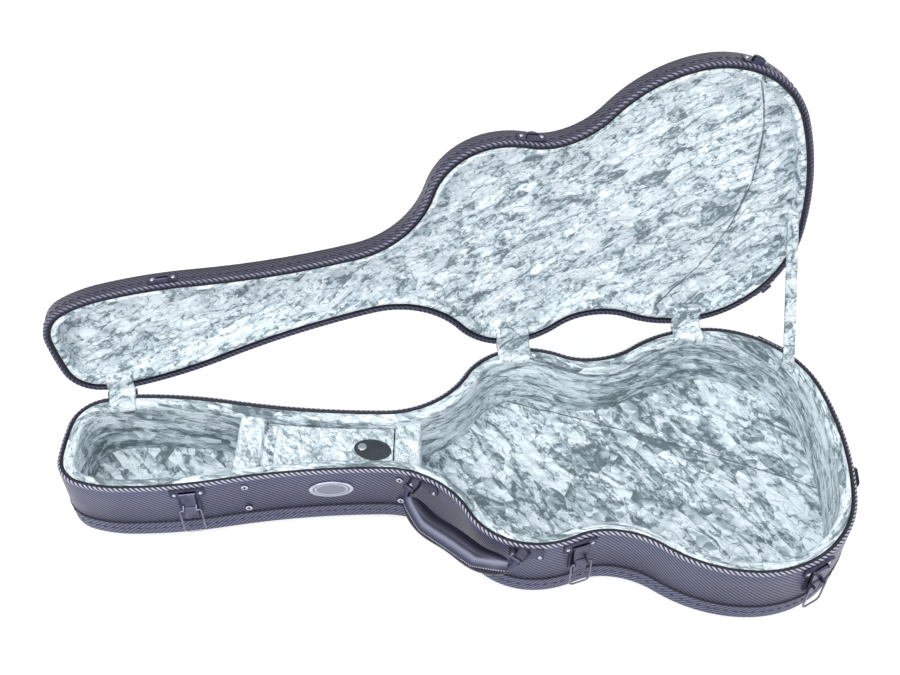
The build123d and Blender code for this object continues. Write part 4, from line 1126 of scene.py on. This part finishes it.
partition_screw_x, block_screw_x, upper_screw_z, lower_screw_z = -0.287, -0.07535, 0.097, 0.050
cross_half_width, cross_reach, head_rim = 0.0009, 0.0031, 0.0047
screw_steel = plated_steel("screw_steel", (0.66, 0.67, 0.76), (0.50, 0.51, 0.6), 0.2)
screw_tree = screw_steel.node_tree
screw_x, _, screw_z = lengths_of(screw_tree, object_place(screw_tree))
off_x = off_nearest(screw_x, partition_screw_x, block_screw_x)
off_z = off_nearest(screw_z, upper_screw_z, lower_screw_z)
off_head = calc(screw_tree, "SQRT", off_x**2.0 + off_z**2.0)
# painted shade in the cross recess, and the same dark past the head's rim
in_cross = (calc(screw_tree, "MINIMUM", off_x, off_z) < cross_half_width) * (off_head < cross_reach)
shaded_cross_or_rim = calc(screw_tree, "MAXIMUM", in_cross, off_head > head_rim)
paint_over(screw_steel, shaded_cross_or_rim, (0.02, 0.02, 0.035))
dress("partition_screws", screw_steel)

# Badge: an oval of bright aluminium with a polished rim and a duller field inside
# a fine line. The field is left bare.
badge_metal = plated_steel("badge_metal", (0.62, 0.63, 0.72), (0.44, 0.45, 0.54), 0.26)
badge_tree = badge_metal.node_tree
badge_half_length, badge_half_height = 0.031, 0.0165
badge_middle = tuple(np.array(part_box("badge")).mean(0))
off_badge = vector_calc(badge_tree, "SUBTRACT", object_place(badge_tree), badge_middle)
badge_x, _, badge_z = lengths_of(badge_tree, off_badge)
badge_reach = (badge_x / badge_half_length) ** 2.0 + (badge_z / badge_half_height) ** 2.0
badge_share = calc(badge_tree, "SQRT", badge_reach)
ring_line = abs(badge_share - 0.7) < 0.035
paint_over(badge_metal, (badge_share < 0.84) - ring_line, (0.25, 0.26, 0.33))
dress("badge", badge_metal)

# Handle: hard plastic moulded round a steel bar. Its colour across the grip, from
# the case to the far side, is painted light and shade: dark as painted shade, then a pale painted highlight
# on the ridge, then dull, and it ends in a serrated seam with painted glints and a near-black band of painted
# shade.
grip_plastic, grip_tree, grip_shader = new_finish("grip_plastic", specular_ior_level=0.35)
handle_along = Vector((0.777677, -0.628664, 0.0))
grip_down = Vector((-0.444533, -0.549901, -0.707107))
pivot_middle, grip_drop = Vector((0.008845, -0.133788, 0.102)), 0.0255
grip_middle = pivot_middle + grip_down * grip_drop
grip_half_width, straight_reach, end_slope = 0.016, 0.044, 0.42
seam_place, seam_half_width, tooth_pitch = 0.0102, 0.00065, 0.003
grip_place = object_place(grip_tree)
off_grip = vector_calc(grip_tree, "SUBTRACT", grip_place, tuple(grip_middle))
along_grip = abs(vector_calc(grip_tree, "DOT_PRODUCT", off_grip, tuple(handle_along)))
bent_up = calc(grip_tree, "MAXIMUM", along_grip - straight_reach, 0.0) * end_slope
across_grip = vector_calc(grip_tree, "DOT_PRODUCT", off_grip, tuple(grip_down)) + bent_up
grip_wear = noise_of(grip_tree, grip_place, 22.0, 3.0)
painted_band_place = across_grip + (grip_wear - 0.5) * 0.003
# painted light across the grip: painted shade on the side by the case, a painted highlight on the ridge, then
# the dull plastic
grip_painted_light = ramp_of(
    grip_tree,
    (painted_band_place + grip_half_width) / (2 * grip_half_width),
    (0.16, (0.012, 0.013, 0.028)),
    (0.34, (0.03, 0.033, 0.062)),
    (0.46, (0.22, 0.235, 0.31)),
    (0.56, (0.15, 0.16, 0.22)),
    (0.68, (0.045, 0.048, 0.085)),
    (0.8, (0.03, 0.032, 0.06)),
)
feed(grip_tree, grip_painted_light, grip_shader.inputs["Base Color"])
grip_seam = abs(across_grip - seam_place) < seam_half_width
teeth = calc(grip_tree, "FRACT", along_grip / tooth_pitch) < 0.6
# painted highlight: glints on the seam's teeth
paint_over(grip_plastic, grip_seam * teeth, (0.36, 0.37, 0.45))
# painted shade: near black past the seam, on the underside
paint_over(grip_plastic, across_grip > seam_place + 0.001, (0.006, 0.006, 0.014))
feed(grip_tree, 0.22 + grip_wear * 0.25, grip_shader.inputs["Roughness"])
grip_grain = noise_of(grip_tree, grip_place, 300.0, 3.0, 0.6)
bump_of(grip_tree, grip_grain * 0.2 - grip_seam, 0.5, 0.0006, grip_shader)
dress("handle_grip", grip_plastic)

# Pull tab: an oval of smooth dark leather with a fine grain; its polished cut edge is not drawn.
tab_leather, tab_tree, tab_shader = new_finish("tab_leather", 0.45, coat_weight=0.2)
tab_place = object_place(tab_tree)
tab_grain = tab_tree.nodes.new("ShaderNodeTexVoronoi")
tab_grain.inputs["Scale"].default_value = 650.0
feed(tab_tree, tab_place, tab_grain.inputs["Vector"])
tab_drift = noise_of(tab_tree, tab_place, 60.0, 3.0)
tab_colour = ramp_of(tab_tree, tab_drift, (0.3, (0.010, 0.016, 0.022)), (0.75, (0.026, 0.036, 0.045)))
feed(tab_tree, tab_colour, tab_shader.inputs["Base Color"])
bump_of(tab_tree, tab_grain.outputs["Distance"], 0.3, 0.0003, tab_shader)
dress("pull_tab", tab_leather)

# Hinge flaps: three pieces of the lining velvet, glued to both linings, that run over
# the two rims and hide the hinges.
hinge_out = np.array((-0.157619, 0.9875))
hinge_line_way = np.array((0.9875, 0.157619, 0.0))
hinge_reach, knuckle, flap_thick, rim_clear = 0.164606, 0.003, 0.0012, 0.0006
flap_places = (
    ("head", (-0.482263, 0.0846), 0.038),
    ("upper", (0.08959, 0.177699), 0.05),
    ("lower", (0.356789, 0.218525), 0.046),
)
flap_bends = (0.005, 0.003, 0.0028, 0.003, 0.005)
lid_swing = np.radians(-open_angle)
lid_side = np.array(((np.cos(lid_swing), np.sin(lid_swing)), (np.sin(lid_swing), -np.cos(lid_swing))))
bend = (knuckle + flap_thick * 1.2) / np.sqrt(2)


def beside_hinge(touch, pin_out, line):
    """Places in space of points that lie so far out from the hinge line and above it,
    where the pin is so far out from a place on the outline."""
    line = np.array(line)
    flat = np.array(touch) + hinge_out * (pin_out + line[:, :1])
    return np.column_stack((flat, hinge_place.z + line[:, 1]))


for place, touch, width in flap_places:
    pin_out = hinge_reach - np.dot(touch, hinge_out)
    low_side = [
        (-pin_out - 0.0236, -0.012),
        (-pin_out - 0.0222, rim_clear),
        (-knuckle - 2 * flap_thick, rim_clear),
    ]
    high_side = [tuple(lid_side @ corner) for corner in reversed(low_side)]
    line = bent_path([*low_side, (-bend, bend), *high_side], flap_bends)
    flap_path = beside_hinge(touch, pin_out, line)
    flap, flap_length = cloth_band(
        "hinge_flap_" + place, flap_path, -hinge_line_way, width, flap_thick, lid_velvet
    )
    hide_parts("hinge_covers")
    fold_start, fold_end = beside_hinge(touch, pin_out, (low_side[2], high_side[0]))
    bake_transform(flap)

# Stay strap: a folded band of the same velvet, sewn to a patch at each end. It is
# tight when the lid stands open.
strap_width, strap_thick = 0.02, 0.0016
patch_thick, patch_inset, lid_patch_inset = 0.0014, 0.0226, 0.0196
strap_foot, strap_rim, strap_top = np.array(
    ((0.497489, 0.137568, 0.106), (0.497489, 0.137568, 0.118), (0.49155, 0.267099, 0.306634))
)
strap_index = np.argmin(np.abs(half_points[:, 0] - 0.5))
strap_way = half_normals[strap_index]
strap_side = np.array((strap_way[1], -strap_way[0], 0.0))
strap_path = np.concatenate(
    (
        strap_foot + (strap_rim - strap_foot) * np.linspace(0, 0.9, 8)[:, None],
        strap_rim + (strap_top - strap_rim) * np.linspace(0, 1, 110)[:, None],
    )
)
strap, strap_length = cloth_band(
    "velvet_strap",
    strap_path,
    strap_side,
    strap_width,
    strap_thick,
    lid_velvet,
    amount=0.0008,
    seed=83,
)
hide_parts("stay_strap")
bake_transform(strap)
patch_heights = np.linspace(0.0862, 0.1058, 10)
patch_spot = half_points[strap_index] - strap_way * patch_inset
patch_path = np.column_stack((np.tile(patch_spot, (len(patch_heights), 1)), patch_heights))
base_patch, patch_length = cloth_band(
    "strap_patch_base", patch_path, strap_side, strap_width, patch_thick, base_velvet
)
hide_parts("strap_anchor_base")
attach(base_patch, "base")
tail_index = np.argmin(np.abs(half_points[:, 1] - 0.055) + (half_points[:, 0] < 0.4))
lid_way = half_normals[tail_index]
lid_patch_heights = np.linspace(lid_rim + 0.0078, lid_rim + 0.0186, 8)
lid_patch_spot = half_points[tail_index] - lid_way * lid_patch_inset
lid_patch_path = np.column_stack((np.tile(lid_patch_spot, (len(lid_patch_heights), 1)), lid_patch_heights))
lid_patch_side = np.array((lid_way[1], -lid_way[0], 0.0)) @ open_turn
lid_patch, lid_patch_length = cloth_band(
    "strap_patch_lid", swing_open(lid_patch_path), lid_patch_side, strap_width, patch_thick, lid_velvet
)
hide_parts("strap_anchor_lid")
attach(lid_patch, "lid")
